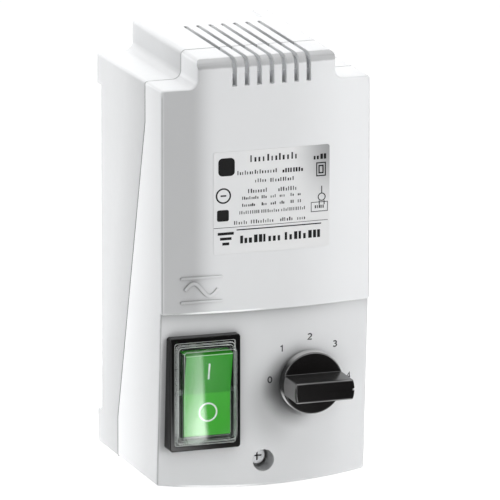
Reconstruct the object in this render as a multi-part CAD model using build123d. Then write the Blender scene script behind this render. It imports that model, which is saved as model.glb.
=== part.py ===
from build123d import *
import os
from math import cos, hypot, pi, radians, sin, sqrt, tan

# Wall-mounted five-step autotransformer controller for fan motors.
# Frame: x to the right seen from the front, y from the front towards the wall, z up.
# Drawn with z = 0 at the lower corners of the housing and y = 0 on the wall plane,
# saved with the origin at the centre of the four wall screw holes, on the wall plane.

# ---------------------------------------------------------------- driving dimensions (mm)
WIDTH = 110.0
DEPTH = 101.5                   # wall plane to the front corners
FRONT = -DEPTH                  # plane of the front corners
WALL = 2.5                      # moulded wall thickness
SHOULDER_FRONT_Z, SHOULDER_REAR_Z = 204.7, 202.7
TOP_Z = 218.8                   # top of the raised vent hood
HOOD_HALF_W = 36.2
HOOD_FOOT_R = 4.5               # concave fillet between hood and shoulder
HOOD_FRONT_R, HOOD_SIDE_R = 6.0, 2.6    # rounding of the hood's top edges
SHOULDER_R = 1.0                # rounding along the front of the shoulders
CORNER_R = 1.6                  # rounding of the lower panel's sides and bottom
CROWN = 1.5                     # bow of the upper panel
BOTTOM_BOW = 3.0                # bow of the lower edge
STEP_Z, STEP_BOW, STEP_R = 89.7, 1.0, 1.5       # edge between upper and lower panel
SETBACK_TOP, SETBACK_BOTTOM = 1.85, 8.4         # lower panel behind FRONT at its side edges
LOWER_CROWN_TOP, LOWER_CROWN_BOTTOM = 1.0, 5.7  # bow of the lower panel
FOOT_X = 27.2                   # inner edge of the corner feet
FOOT_DEPTH = 6.2                # height of the feet off the back plane
FOOT_TOP, FOOT_BOTTOM = 15.5, 17.8
BACK_INNER = -FOOT_DEPTH - WALL # inner face of the back
NOTCH_DEPTH = 17.0              # cut-out at the rear of the hood
PART_UPPER_Y, PART_UPPER_Z = 25.4, 183.6        # kinks of the parting line, y from FRONT
PART_LOWER_Y, PART_LOWER_Z = 69.85, 20.9
SEAL_GAP = 0.8                  # gap between the two mouldings
SLOT_COUNT, SLOT_PITCH, SLOT_W, SLOTS_X = 7, 6.5, 2.3, 2.5
SLOT_FOOT_Z, SLOT_REAR_Y = 204.6, -27.0
HOLE_X, HOLE_LOW_Z, HOLE_HIGH_Z, HOLE_R = 42.0, 9.5, 194.5, 2.6   # wall screw holes
ORIGIN_Z = (HOLE_LOW_Z + HOLE_HIGH_Z) / 2

SCREW_X, SCREW_Z = -0.5, 10.3           # cover screw
SCREW_SEAT_Y = FRONT + 15.6
SCREW_PILLAR_Y = FRONT + 18.6
PILLAR_R = 6.0
INSERT_R, INSERT_BORE_R, INSERT_L = 3.55, 2.56, 10.0
INSERT_POCKET_R = 3.6

SWITCH_X, SWITCH_Z = -33.0, 49.0        # switch centre
OPENING_W, OPENING_H = 28.8, 47.6       # panel opening for the switch
PIVOT_Y, PIVOT_Z = FRONT - 0.5, SWITCH_Z + 0.8  # rocker pivot
KNOB_X, KNOB_Z = 23.4, 49.8             # selector axis

CORE_Z, CORE_W, CORE_H = 146.0, 96.0, 80.0      # lamination size
CORE_Y0, CORE_Y1 = -72.5, -27.5                 # lamination stack
CORE_BOLTS = [(sx * 40.0, CORE_Z + sz * 32.0) for sx in (-1, 1) for sz in (-1, 1)]
CORE_PILLAR_Y = CORE_Y1 + 1.55
BLOCK_Z = 40.0                          # terminal block centre
BLOCK_SCREW_XS = (-27.0, 27.0)
GLAND_XS, GLAND_Y = (-20.0, 20.0), -19.3


# ---------------------------------------------------------------- helpers
def box(x0, x1, y0, y1, z0, z1):
    centre = Pos((x0 + x1) / 2, (y0 + y1) / 2, (z0 + z1) / 2)
    return centre * Box(abs(x1 - x0), abs(y1 - y0), abs(z1 - z0))


def rod_x(y, z, x0, x1, r):
    return Pos((x0 + x1) / 2, y, z) * Rot(0, 90, 0) * Cylinder(r, abs(x1 - x0))


def rod_y(x, z, y0, y1, r):
    return Pos(x, (y0 + y1) / 2, z) * Rot(90, 0, 0) * Cylinder(r, abs(y1 - y0))


def rod_z(x, y, z0, z1, r):
    return Pos(x, y, (z0 + z1) / 2) * Cylinder(r, abs(z1 - z0))


def tube_y(x, z, y0, y1, outer_r, inner_r):
    return rod_y(x, z, y0, y1, outer_r) - rod_y(x, z, y0 - 1, y1 + 1, inner_r)


def prism_x(points, x0, x1):
    """Closed polygon of (y, z) points extruded across the width."""
    face = make_face(Polyline(*[(0, y, z) for y, z in points], close=True))
    return Pos(x0, 0, 0) * extrude(face, x1 - x0, dir=(1, 0, 0))


def plane_y(x, y, z):
    return Plane((x, y, z), x_dir=(1, 0, 0), z_dir=(0, 1, 0))


def plate_y(width, height, r, x, z, y0, y1):
    """Rounded rectangle facing the front, extruded in depth."""
    return extrude(plane_y(x, y0, z) * RectangleRounded(width, height, r), y1 - y0, dir=(0, 1, 0))


def hexagon(flats):
    return RegularPolygon(flats / 2, 6, major_radius=False)


def hex_y(x, z, y0, y1, flats):
    return extrude(plane_y(x, y0, z) * hexagon(flats), y1 - y0, dir=(0, 1, 0))


def hex_z(x, y, z0, z1, flats):
    return extrude(Plane((x, y, z0)) * hexagon(flats), z1 - z0, dir=(0, 0, 1))


def sweep_circle(r, path):
    return sweep(Plane(path @ 0, z_dir=path % 0) * Circle(r), path=path)


def insert(x, z, y0):
    return tube_y(x, z, y0, y0 + INSERT_L, INSERT_R, INSERT_BORE_R)


def largest(shape):
    return shape.solids().sort_by(SortBy.VOLUME)[-1]


def near(value, target, tolerance):
    return abs(value - target) < tolerance


def edges_at_y(shape, y):
    return [e for e in shape.edges() if near(e.center().Y, y, 0.05)]


def try_fillet(shape, edges, r):
    # Guards against a radius the kernel cannot build: smaller ones follow, then none.
    for factor in (1.0, 0.7, 0.45):
        try:
            rounded = fillet(edges, r * factor)
            if rounded.is_valid and rounded.volume > 0:
                return rounded
        except Exception:
            pass
    return shape


# ---------------------------------------------------------------- envelope of the housing
def bow_radius(rise):
    return (WIDTH * WIDTH / 4 + rise * rise) / (2 * rise)


CROWN_RADIUS = bow_radius(CROWN)
BOTTOM_RADIUS = bow_radius(BOTTOM_BOW)
CROWN_AXIS_Y = FRONT - CROWN + CROWN_RADIUS


def crown_cylinder(grow):
    """Upright cylinder whose front is the bowed upper panel, moved outwards by grow."""
    return Pos(0, CROWN_AXIS_Y, 100) * Cylinder(CROWN_RADIUS + grow, 400)


def lower_panel_tool(inset):
    """Solid in front of the lower panel, below the step."""
    half = 70.0
    far_y = FRONT - 40
    faces = []
    for z in (STEP_Z + 3.0, -12.0):
        k = (STEP_Z - z) / STEP_Z
        edge_y = FRONT + SETBACK_TOP + k * (SETBACK_BOTTOM - SETBACK_TOP)
        crown = LOWER_CROWN_TOP + k * (LOWER_CROWN_BOTTOM - LOWER_CROWN_TOP)
        mid_y = edge_y - crown + inset
        side_y = mid_y + (half / (WIDTH / 2)) ** 2 * crown
        arc = ThreePointArc((-half, side_y, z), (0, mid_y, z), (half, side_y, z))
        rest = Polyline((half, side_y, z), (half, far_y, z), (-half, far_y, z), (-half, side_y, z))
        faces.append(make_face([arc, rest]))
    tool = loft(faces, ruled=True)
    top, side = STEP_Z + inset, WIDTH / 2
    limit = make_face([
        ThreePointArc((-side, 0, top), (0, 0, top - STEP_BOW), (side, 0, top)),
        Line((side, 0, top), (80, 0, top)),
        Polyline((80, 0, top), (80, 0, -20), (-80, 0, -20), (-80, 0, top), (-side, 0, top))])
    return tool & (Pos(0, FRONT - 60, 0) * extrude(limit, 100, dir=(0, 1, 0)))


def hood_front_tool(inset):
    """Cutter that rounds the hood's front top edge, swept round the bow of the front."""
    r = HOOD_FRONT_R - inset
    y, top = FRONT - CROWN + inset, TOP_Z - inset
    low, bulge = top - r, r * sin(radians(45))
    face = make_face([
        Line((0, y, low), (0, y - 3, low)),
        Line((0, y - 3, low), (0, y - 3, top + 3)),
        Line((0, y - 3, top + 3), (0, y + r, top + 3)),
        Line((0, y + r, top + 3), (0, y + r, top)),
        ThreePointArc((0, y + r, top), (0, y + r - bulge, low + bulge), (0, y, low))])
    swept = revolve(Pos(0, -CROWN_AXIS_Y, 0) * face, Axis.Z, 8)
    return Pos(0, CROWN_AXIS_Y, 0) * (Rot(0, 0, -4) * swept)


def envelope(inset):
    """Housing moved inwards by inset; the feet reach the wall plane only at inset 0."""
    outside = inset == 0
    half = WIDTH / 2 - inset
    hood = HOOD_HALF_W - inset
    back = 0 if outside else -FOOT_DEPTH - inset
    slope = (SHOULDER_FRONT_Z - SHOULDER_REAR_Z) / DEPTH

    def hood_edges(shape, z_min, z_max):
        return [e for e in shape.edges() if near(abs(e.center().X), hood, 0.01)
                and z_min < e.center().Z < z_max and e.length > 60]

    body = prism_x([(FRONT - 12, -8), (FRONT - 12, SHOULDER_FRONT_Z + 12 * slope - inset),
                    (back, SHOULDER_REAR_Z - back * slope - inset), (back, -8)], -half, half)
    body = body + box(-hood, hood, FRONT - 12, back, 150, TOP_Z - inset)
    body = fillet(hood_edges(body, 200, 206), HOOD_FOOT_R + inset)
    if inset < 1.5:
        body = fillet(hood_edges(body, TOP_Z - inset - 0.01, TOP_Z + 5), HOOD_SIDE_R)
    body = body & crown_cylinder(-inset)
    bottom = Pos(0, -50, -BOTTOM_BOW + BOTTOM_RADIUS) * Rot(90, 0, 0)
    body = body & (bottom * Cylinder(BOTTOM_RADIUS - inset, 400))
    body -= lower_panel_tool(inset)
    # cut-out behind the hood
    body -= box(-FOOT_X - inset, FOOT_X + inset, -NOTCH_DEPTH - inset, 5,
                SHOULDER_REAR_Z + 0.4 - inset, TOP_Z + 5)
    if outside:
        # cross-shaped recess that leaves the four corner feet
        upright = box(-FOOT_X, FOOT_X, -FOOT_DEPTH, 5, -20, TOP_Z + 5)
        level = box(-80, 80, -FOOT_DEPTH, 5, FOOT_BOTTOM, SHOULDER_REAR_Z - FOOT_TOP)
        body = body - upright - level
        body = fillet([e for e in body.edges() if 8 < e.length < 40
                       and near(e.center().Z, SHOULDER_FRONT_Z, 0.8)
                       and e.center().Y < FRONT + 2], SHOULDER_R)
    body -= hood_front_tool(inset)
    return body.solids()[0]


def softened_envelope():
    body = envelope(0)
    # step between the panels
    body = try_fillet(body, [e for e in body.edges() if e.length > 50
                             and e.center().Y < FRONT + 0.3
                             and near(e.center().Z, STEP_Z - 0.7, 1.0)], STEP_R)
    # side edges of the lower panel
    body = try_fillet(body, [e for e in body.edges() if e.length > 50
                             and near(abs(e.center().X), WIDTH / 2, 0.3)
                             and e.center().Y < FRONT + 9
                             and abs((e @ 0).Z - (e @ 1).Z) > 50], CORNER_R)
    # bottom edge of the lower panel
    return try_fillet(body, [e for e in body.edges() if e.length > 60
                             and e.center().Z < -0.5 and e.center().Y < FRONT + 12], CORNER_R)


OUTER = softened_envelope()
SHELL = OUTER - envelope(WALL)


def parting_zone(in_front, shift):
    """Space before or behind the parting surface, which is moved by shift towards the wall."""
    upper_y, lower_y = FRONT + PART_UPPER_Y + shift, FRONT + PART_LOWER_Y + shift
    far_y = FRONT - 60 if in_front else 30
    return prism_x([(far_y, -30), (far_y, 260), (upper_y, 260), (upper_y, PART_UPPER_Z),
                    (lower_y, PART_LOWER_Z), (lower_y, -30)], -90, 90)


def vent_slots():
    slots = []
    low, high = TOP_Z - WALL - 2.0, TOP_Z + 5
    for i in range(SLOT_COUNT):
        x = SLOTS_X + (i - (SLOT_COUNT - 1) / 2) * SLOT_PITCH
        x0, x1 = x - SLOT_W / 2, x + SLOT_W / 2
        slots.append(box(x0, x1, FRONT - 10, FRONT + WALL + 6.0, SLOT_FOOT_Z, high)
                     + box(x0, x1, FRONT, SLOT_REAR_Y, low, high)
                     + rod_z(x, SLOT_REAR_Y, low, high, SLOT_W / 2))
    return slots


SLOTS = vent_slots()


# ---------------------------------------------------------------- housing
def cover_relief():
    """Raised wave between two bars on the upper panel."""
    centre_x, centre_z = -34.4, 102.0
    length, height, half_stroke, steps = 17.2, 3.4, 0.8, 40
    bar_half, bar_z0, bar_z1 = 10.8, 5.6, 6.75
    points = [(centre_x - length / 2 + length * i / steps,
               centre_z + height * sin(2 * pi * i / steps)) for i in range(steps + 1)]
    upper, lower = [], []
    for start, end in zip(points, points[1:]):
        dx, dz = end[0] - start[0], end[1] - start[1]
        k = half_stroke / hypot(dx, dz)
        for x, z in (end,) if upper else (start, end):
            upper.append((x - dz * k, 0, z + dx * k))
            lower.append((x + dz * k, 0, z - dx * k))
    face = make_face([Spline(*upper), Line(upper[-1], lower[-1]),
                      Spline(*lower), Line(lower[0], upper[0])])
    wave = Pos(0, FRONT - 6, 0) * extrude(face, 8, dir=(0, 1, 0))
    x0, x1 = centre_x - bar_half, centre_x + bar_half
    bars = (box(x0, x1, FRONT - 6, FRONT + 2, centre_z + bar_z0, centre_z + bar_z1)
            + box(x0, x1, FRONT - 6, FRONT + 2, centre_z - bar_z1, centre_z - bar_z0))
    return (wave + bars) & (crown_cylinder(0.85) - crown_cylinder(-0.6))


def front_cover():
    cover = largest(SHELL & parting_zone(True, -SEAL_GAP / 2))
    pads = (rod_y(KNOB_X, KNOB_Z, FRONT - 2, FRONT + 8.0, 19.0)
            + rod_y(SCREW_X, SCREW_Z, FRONT - 2, FRONT + 18.1, 8.0))
    cover = cover + (pads & OUTER)
    for side in (-1, 1):        # tongues that hook under the rear moulding
        x0, x1 = side * 39.5, side * 51.0
        cover = (cover + box(x0, x1, FRONT + 19.0, FRONT + 24.0, 198.6, 203.2)
                 + box(x0, x1, FRONT + 19.0, FRONT + 33.0, 198.6, 200.8))
    for slot in SLOTS:
        cover -= slot
    cover -= plate_y(OPENING_W, OPENING_H, 1.0, SWITCH_X, SWITCH_Z, FRONT - 20, FRONT + 20)
    # selector hole and its counterbore, then the screw's counterbore and hole
    cover -= rod_y(KNOB_X, KNOB_Z, FRONT - 20, FRONT + 20, 5.15)
    cover -= rod_y(KNOB_X, KNOB_Z, FRONT - 20, FRONT + 3.0, 9.5)
    cover -= rod_y(SCREW_X, SCREW_Z, FRONT - 20, SCREW_SEAT_Y, 5.6)
    cover -= rod_y(SCREW_X, SCREW_Z, FRONT, FRONT + 30, 2.75)
    for solid in cover_relief().solids():
        cover = cover + solid
    return cover


def rear_housing():
    rear = largest(SHELL & parting_zone(False, SEAL_GAP / 2))
    for x, z in CORE_BOLTS:     # pillars for the transformer
        rear = rear + rod_y(x, z, CORE_PILLAR_Y, BACK_INNER + 1, PILLAR_R)
    rear = rear + rod_y(SCREW_X, SCREW_Z, SCREW_PILLAR_Y, BACK_INNER + 1, PILLAR_R)
    for x in BLOCK_SCREW_XS:    # bosses under the terminal block
        rear = rear + rod_y(x, BLOCK_Z, BACK_INNER - 4.0, BACK_INNER + 1, 4.5)
    for x in GLAND_XS:          # pads for the cable glands
        rear = rear + rod_z(x, GLAND_Y, -3.3, 3.0, 11.8)
    ledge_x = HOOD_HALF_W - WALL
    for side in (-1, 1):        # ledges that carry the vent baffle
        rear = rear + box(side * (ledge_x + 0.5), side * (ledge_x - 2.2),
                          -74.0, -32.0, 205.6, 207.6)
    for slot in SLOTS:
        rear -= slot
    for x in (-HOLE_X, HOLE_X):
        for z in (HOLE_LOW_Z, HOLE_HIGH_Z):
            rear -= rod_y(x, z, -30, 5, HOLE_R)
    for x, z in CORE_BOLTS:
        rear -= rod_y(x, z, CORE_Y1 - 1, CORE_PILLAR_Y + 11.0, INSERT_POCKET_R)
    rear -= rod_y(SCREW_X, SCREW_Z, FRONT + 18, SCREW_PILLAR_Y + 12.0, INSERT_POCKET_R)
    rear -= rod_y(SCREW_X, SCREW_Z, FRONT + 18, FRONT + 36, 2.7)
    for x in BLOCK_SCREW_XS:
        rear -= rod_y(x, BLOCK_Z, BACK_INNER - 6, BACK_INNER - 0.2, 1.55)
    for x in GLAND_XS:
        rear -= rod_z(x, GLAND_Y, -10, 10, 8.1)
    return largest(rear)


def cover_seal():
    """Seal along the sides and the bottom of the parting line."""
    reach = SEAL_GAP / 2 - 0.05
    seal = ((envelope(0.18) - envelope(2.25)) & parting_zone(True, reach)
            & parting_zone(False, -reach))
    return largest(seal & box(-80, 80, FRONT - 20, 20, -30, 197.5))


def cover_screw():
    head = rod_y(SCREW_X, SCREW_Z, FRONT + 12.4, SCREW_SEAT_Y - 0.05, 4.5)
    rim = head.edges().filter_by(GeomType.CIRCLE).sort_by(Axis.Y)[0:1]
    head = try_fillet(head, rim, 1.2)
    screw = head + rod_y(SCREW_X, SCREW_Z, FRONT + 15.5, FRONT + 32.0, 2.5)
    for angle in (0, 90):       # cross recess
        screw -= Pos(SCREW_X, FRONT + 13.2, SCREW_Z) * Rot(0, angle, 0) * Box(5.0, 2.6, 0.85)
    return screw


def cover_insert():
    return insert(SCREW_X, SCREW_Z, SCREW_PILLAR_Y + 0.1)


def rating_label():
    """Label wrapped on the bowed panel."""
    x0, x1, z0, z1 = -28.2, 33.0, 119.3, 171.5
    label = plate_y(x1 - x0, z1 - z0, 1.2, (x0 + x1) / 2, (z0 + z1) / 2, FRONT - 8, FRONT + 4)
    return (label & crown_cylinder(0.25)) - crown_cylinder(0.02)


def vent_baffle():
    """Splash tray under the vent slots, with a front apron and two side lips."""
    half, sheet = 33.2, 1.5
    y0, y1 = FRONT + 6.5, -31.0
    z0 = 207.7
    z1 = z0 + sheet
    return (box(-half, half, y0, y1, z0, z1)
            + box(-half, half, y0, y0 + sheet, 199.5, z1)
            + box(-half, sheet - half, y0, y1, 209.0, 213.0)
            + box(half - sheet, half, y0, y1, 209.0, 213.0))


# ---------------------------------------------------------------- transformer
TONGUE_HALF_W, WINDOW_OUTER_X, WINDOW_HALF_H = 16.0, 32.0, 24.0
WINDOW_Z0 = CORE_Z - WINDOW_HALF_H
JOINT_Z = CORE_Z + CORE_H / 2 - 16.0    # joint between the E and the I laminations
CORE_HOLE_R = 2.75
TAG_XS = [-22.0 + 9.0 * i for i in range(6)]


def around_core(half_w, margin, half_h):
    """Block centred on the core, standing margin beyond the stack at front and rear."""
    return box(-half_w, half_w, CORE_Y0 - margin, CORE_Y1 + margin,
               CORE_Z - half_h, CORE_Z + half_h)


def rounded_around_core(half_w, margin, half_h, r):
    block = around_core(half_w, margin, half_h)
    return try_fillet(block, block.edges().filter_by(Axis.Z), r)


def drill_core_holes(body, y0, y1):
    for x, z in CORE_BOLTS:
        body -= rod_y(x, z, y0 - 1, y1 + 1, CORE_HOLE_R)
    return body


def core_stack():
    core = around_core(CORE_W / 2, 0, CORE_H / 2)
    for side in (-1, 1):
        core -= box(side * TONGUE_HALF_W, side * WINDOW_OUTER_X, CORE_Y0 - 1, CORE_Y1 + 1,
                    WINDOW_Z0, CORE_Z + WINDOW_HALF_H)
    return drill_core_holes(core, CORE_Y0, CORE_Y1)


def core_e_stack():
    return core_stack() & box(-60, 60, -90, 0, CORE_Z - 60, JOINT_Z - 0.03)


def core_i_stack():
    return core_stack() & box(-60, 60, -90, 0, JOINT_Z, CORE_Z + 60)


def clamp_frame(y0, y1):
    frame = box(-CORE_W / 2, CORE_W / 2, y0, y1, CORE_Z - CORE_H / 2, CORE_Z + CORE_H / 2)
    frame -= box(-33.5, 33.5, y0 - 1, y1 + 1, CORE_Z - 26, CORE_Z + 26)
    return drill_core_holes(frame, y0, y1)


def clamp_frame_rear():
    return clamp_frame(CORE_Y1 + 0.02, CORE_Y1 + 1.5)


def clamp_frame_front():
    return clamp_frame(CORE_Y0 - 1.5, CORE_Y0 - 0.02)


def core_washers():
    return [tube_y(x, z, CORE_Y0 - 2.6, CORE_Y0 - 1.52, 5.0, 2.7) for x, z in CORE_BOLTS]


def core_bolts():
    return [hex_y(x, z, CORE_Y0 - 6.2, CORE_Y0 - 2.62, 8.0)
            + rod_y(x, z, CORE_Y0 - 2.7, CORE_Y1 + 10.5, 2.5) for x, z in CORE_BOLTS]


def pillar_inserts():
    return [insert(x, z, CORE_PILLAR_Y + 0.05) for x, z in CORE_BOLTS]


def coil_bobbin():
    """Tube round the tongue with a flange at each end and a rail for the tags."""
    bobbin = around_core(17.4, 1.4, WINDOW_HALF_H - 0.3)
    flange = box(-31.6, 31.6, CORE_Y0 - 15.0, CORE_Y1 + 15.0, WINDOW_Z0 + 0.3, WINDOW_Z0 + 2.1)
    bobbin = bobbin + flange + Pos(0, 0, 2 * WINDOW_HALF_H - 2.4) * flange
    bobbin -= around_core(16.2, 0.15, 40)
    return bobbin + box(-27, 27, CORE_Y0 - 15.0, CORE_Y0 - 13.4, WINDOW_Z0 - 3.6, WINDOW_Z0 + 1.0)


def winding():
    coil_block = rounded_around_core(29.6, 13.2, WINDOW_HALF_H - 2.2, 6.0)
    return coil_block - around_core(17.5, 1.5, 40)


def winding_wrap():
    return rounded_around_core(30.4, 14.0, 17.0, 6.6) - rounded_around_core(29.7, 13.3, 40, 6.05)


def thermal_cutout():
    return plate_y(9.0, 22.0, 1.0, 12.0, CORE_Z, CORE_Y0 - 18.6, CORE_Y0 - 14.1)


def cutout_clip():
    x0, x1, leg = 5.0, 19.0, 1.2
    y0, y1 = CORE_Y0 - 19.4, CORE_Y0 - 14.1
    z0, z1 = CORE_Z - 3, CORE_Z + 3
    return (box(x0, x1, y0, y0 + 0.75, z0, z1)
            + box(x0, x0 + leg, y0, y1, z0, z1)
            + box(x1 - leg, x1, y0, y1, z0, z1))


def tap_tags():
    return [box(x - 1.6, x + 1.6, CORE_Y0 - 16.0, CORE_Y0 - 15.05,
                WINDOW_Z0 - 9.5, WINDOW_Z0 + 0.5) for x in TAG_XS]


# ---------------------------------------------------------------- rocker switch
BEZEL_W, BEZEL_H, BEZEL_Y = 37.2, 58.4, FRONT - 3.0
BODY_W, BODY_H = OPENING_W - 0.5, OPENING_H - 0.5
ROCKER_W, ROCKER_HALF_L = 25.0, 21.6
ROCKER_ANGLE = 6.0              # half angle between the two faces, and the tilt
VALLEY = 5.0                    # rocker valley before the pivot
ARM_Y, ARM_ANGLE = FRONT + 12.0, 5.0    # axis and tilt of the seesaw contact arms
CONTACT_Z = PIVOT_Z - 14.0
COLUMN_XS = (SWITCH_X - 7.0, SWITCH_X + 7.0)    # the two poles


def switch_plate(width, height, r, y0, y1, z=SWITCH_Z):
    return plate_y(width, height, r, SWITCH_X, z, y0, y1)


def tilt(shape, axis_y, angle):
    """Turn about the axis along x at axis_y and the pivot height."""
    return Pos(0, axis_y, PIVOT_Z) * (Rot(angle, 0, 0) * (Pos(0, -axis_y, -PIVOT_Z) * shape))


def tilt_rocker(shape):
    return tilt(shape, PIVOT_Y, ROCKER_ANGLE)


def coil(pitch, height, radius, wire_r):
    return sweep_circle(wire_r, Helix(pitch=pitch, height=height, radius=radius))


def switch_bezel():
    bezel = switch_plate(BEZEL_W, BEZEL_H, 1.6, BEZEL_Y, FRONT + 12)
    room = OUTER + box(-90, 90, FRONT - 30, FRONT + 14, -20, 120)
    bezel = largest(bezel & (room - envelope(-0.06)))
    # Guards against a front edge that cannot be rounded: it then stays sharp.
    try:
        bezel = fillet(edges_at_y(bezel, BEZEL_Y), 0.7)
    except Exception:
        pass
    bezel -= switch_plate(32.4, 53.4, 1.4, BEZEL_Y - 1, FRONT - 1.3)
    return bezel - switch_plate(OPENING_W, OPENING_H, 1.0, FRONT - 20, FRONT + 20)


def splash_boot():
    """Clear cover: flange in the bezel, box over the rocker."""
    dome_z, dome_y = SWITCH_Z + 0.5, FRONT - 11.5
    dome = switch_plate(29.0, 47.9, 2.4, dome_y, FRONT - 1.4, dome_z)
    dome = try_fillet(dome, edges_at_y(dome, dome_y), 1.6)
    hollow = switch_plate(27.3, 46.2, 1.6, FRONT - 10.7, FRONT + 1, dome_z)
    flange = (switch_plate(32.0, 53.0, 1.2, FRONT - 2.6, FRONT - 1.4)
              + switch_plate(30.4, 50.4, 1.8, FRONT - 4.2, FRONT - 1.5, SWITCH_Z + 0.2))
    return (dome + flange) - hollow


def switch_body():
    """Case, open to the front."""
    body = switch_plate(BODY_W, BODY_H, 0.8, FRONT - 1.25, FRONT + 28.0)
    body -= switch_plate(BODY_W - 2.6, BODY_H - 2.2, 0.4, FRONT - 2, FRONT + 15.0)
    body -= rod_x(PIVOT_Y, PIVOT_Z, SWITCH_X - 30, SWITCH_X + 30, 1.52)
    # bridge with a half-round saddle for the seesaw arms
    body = body + switch_plate(BODY_W - 2.6, 3.0, 0.2, FRONT + 12.6, FRONT + 15.5, PIVOT_Z)
    body -= rod_x(ARM_Y, PIVOT_Z, SWITCH_X - 11.0, SWITCH_X + 11.0, 1.0)
    for side in (-1, 1):        # snap shoulders behind the panel
        body = body + box(SWITCH_X + side * (BODY_W / 2 - 0.3), SWITCH_X + side * (BODY_W / 2 + 1.3),
                          FRONT + 9.6, FRONT + 13.0, SWITCH_Z - 12, SWITCH_Z + 12)
    for x in COLUMN_XS:
        for z in (CONTACT_Z, PIVOT_Z):
            body -= box(x - 3.25, x + 3.25, FRONT + 14, FRONT + 30, z - 0.5, z + 0.5)
            if z == CONTACT_Z:
                body -= rod_y(x, z, FRONT + 14, FRONT + 15.9, 1.75)
    return body


def rocker_pin():
    return rod_x(PIVOT_Y, PIVOT_Z, SWITCH_X - 13.55, SWITCH_X + 13.55, 1.5)


def rocker():
    half = ROCKER_W / 2
    valley_y = PIVOT_Y - VALLEY
    peak_y = valley_y - ROCKER_HALF_L * tan(radians(ROCKER_ANGLE))
    rear_y, rear_half = PIVOT_Y + 3.0, ROCKER_HALF_L - 0.6
    body = prism_x([(valley_y, PIVOT_Z), (peak_y, PIVOT_Z + ROCKER_HALF_L),
                    (rear_y, PIVOT_Z + rear_half), (rear_y, PIVOT_Z - rear_half),
                    (peak_y, PIVOT_Z - ROCKER_HALF_L)], SWITCH_X - half, SWITCH_X + half)
    front_edges = [e for e in body.edges() if e.center().Y < valley_y + 0.5
                   and e.length > 18 and not near(e.center().Z, PIVOT_Z, 0.5)]
    body = try_fillet(body, front_edges, 0.9)
    inner_half, inner_l = half - 1.8, ROCKER_HALF_L - 2.4
    hollow = box(SWITCH_X - inner_half, SWITCH_X + inner_half, valley_y + 2.2, PIVOT_Y + 5,
                 PIVOT_Z - inner_l, PIVOT_Z + inner_l)
    web = box(SWITCH_X - 3.6, SWITCH_X + 3.6, valley_y + 1.5, PIVOT_Y + 6.5,
              PIVOT_Z - 3.4, PIVOT_Z + 3.4)
    body = (body - hollow) + web
    body -= rod_x(PIVOT_Y, PIVOT_Z, SWITCH_X - 20, SWITCH_X + 20, 1.56)
    body -= rod_y(SWITCH_X, PIVOT_Z, PIVOT_Y + 2.4, PIVOT_Y + 8, 2.05)
    return tilt_rocker(body)


def plunger():
    r, y0, nose_y = 2.0, PIVOT_Y + 4.4, PIVOT_Y + 8.6
    body = rod_y(SWITCH_X, PIVOT_Z, y0, nose_y, r) + (Pos(SWITCH_X, nose_y, PIVOT_Z) * Sphere(r))
    body = body & box(SWITCH_X - 5, SWITCH_X + 5, y0, PIVOT_Y + 10.55, PIVOT_Z - 5, PIVOT_Z + 5)
    body = body + box(SWITCH_X - 10.5, SWITCH_X + 10.5, PIVOT_Y + 8.9, PIVOT_Y + 10.5,
                      PIVOT_Z - 1.0, PIVOT_Z + 1.0)
    return tilt_rocker(body)


def plunger_spring():
    spring = Rot(90, 0, 0) * coil(pitch=0.45, height=1.0, radius=1.45, wire_r=0.16)
    return tilt_rocker(Pos(SWITCH_X, PIVOT_Y + 4.18, PIVOT_Z) * spring)


def neon_lamp():
    """Lamp in the upper half of the rocker."""
    lamp = rod_x(PIVOT_Y + 0.5, PIVOT_Z + 11.0, SWITCH_X - 7.0, SWITCH_X + 7.0, 2.2)
    return tilt_rocker(try_fillet(lamp, lamp.edges(), 1.4))


def lamp_resistor():
    return tilt_rocker(rod_x(PIVOT_Y + 0.5, PIVOT_Z - 11.0, SWITCH_X - 4.5, SWITCH_X + 4.5, 1.4))


def contact_arms():
    arms = []
    for x in COLUMN_XS:
        arm = box(x - 2.6, x + 2.6, ARM_Y - 0.85, ARM_Y + 0.05, PIVOT_Z - 15.5, PIVOT_Z + 15.5)
        arm = arm + rod_x(ARM_Y, PIVOT_Z, x - 2.6, x + 2.6, 0.94)   # barrel the arm rocks on
        arm = arm + rod_y(x, CONTACT_Z, ARM_Y - 0.1, ARM_Y + 0.65, 1.7)
        arms.append(tilt(arm, ARM_Y, -ARM_ANGLE))
    return arms


def switch_terminals():
    terminals = []
    for x in COLUMN_XS:
        for z in (CONTACT_Z, PIVOT_Z):
            blade = box(x - 3.15, x + 3.15, FRONT + 15.6, FRONT + 38.0, z - 0.4, z + 0.4)
            if z == PIVOT_Z:
                blade = blade + box(x - 3.0, x + 3.0, FRONT + 15.55, FRONT + 16.0, z - 0.4, z + 0.4)
            else:
                blade = blade + rod_y(x, z, FRONT + 15.2, FRONT + 15.8, 1.6)
            terminals.append(blade - rod_z(x, FRONT + 34.5, z - 2, z + 2, 0.9))
    return terminals


# ---------------------------------------------------------------- step selector
DISC_R, DISC_Y = 16.0, FRONT - 4.8      # knob disc and its front face
GRIP_W, GRIP_Y = 10.5, DISC_Y - 18.0    # grip bar and its front face
SET_SCREW_Y = FRONT - 3.2
SELECTOR_Y = FRONT + 8.1                # front of the selector
DECK_R = 19.0
INDEX_Y, DECK_Y, REAR_Y = SELECTOR_Y + 2.02, SELECTOR_Y + 12.0, SELECTOR_Y + 24.0
INDEX_MID_Y = (INDEX_Y + DECK_Y) / 2
ROTOR_Y = (DECK_Y + REAR_Y) / 2 + 1.0   # rear face of the rotor
CONTACT_Y = (DECK_Y + REAR_Y) / 2 + 2.5
TIE_SCREWS = [(KNOB_X + 16.6 * cos(radians(a)), KNOB_Z + 16.6 * sin(radians(a)))
              for a in (112.5, 292.5)]
CONTACT_ANGLES = (0, 45, 90, 135, 180, 270)


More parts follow.
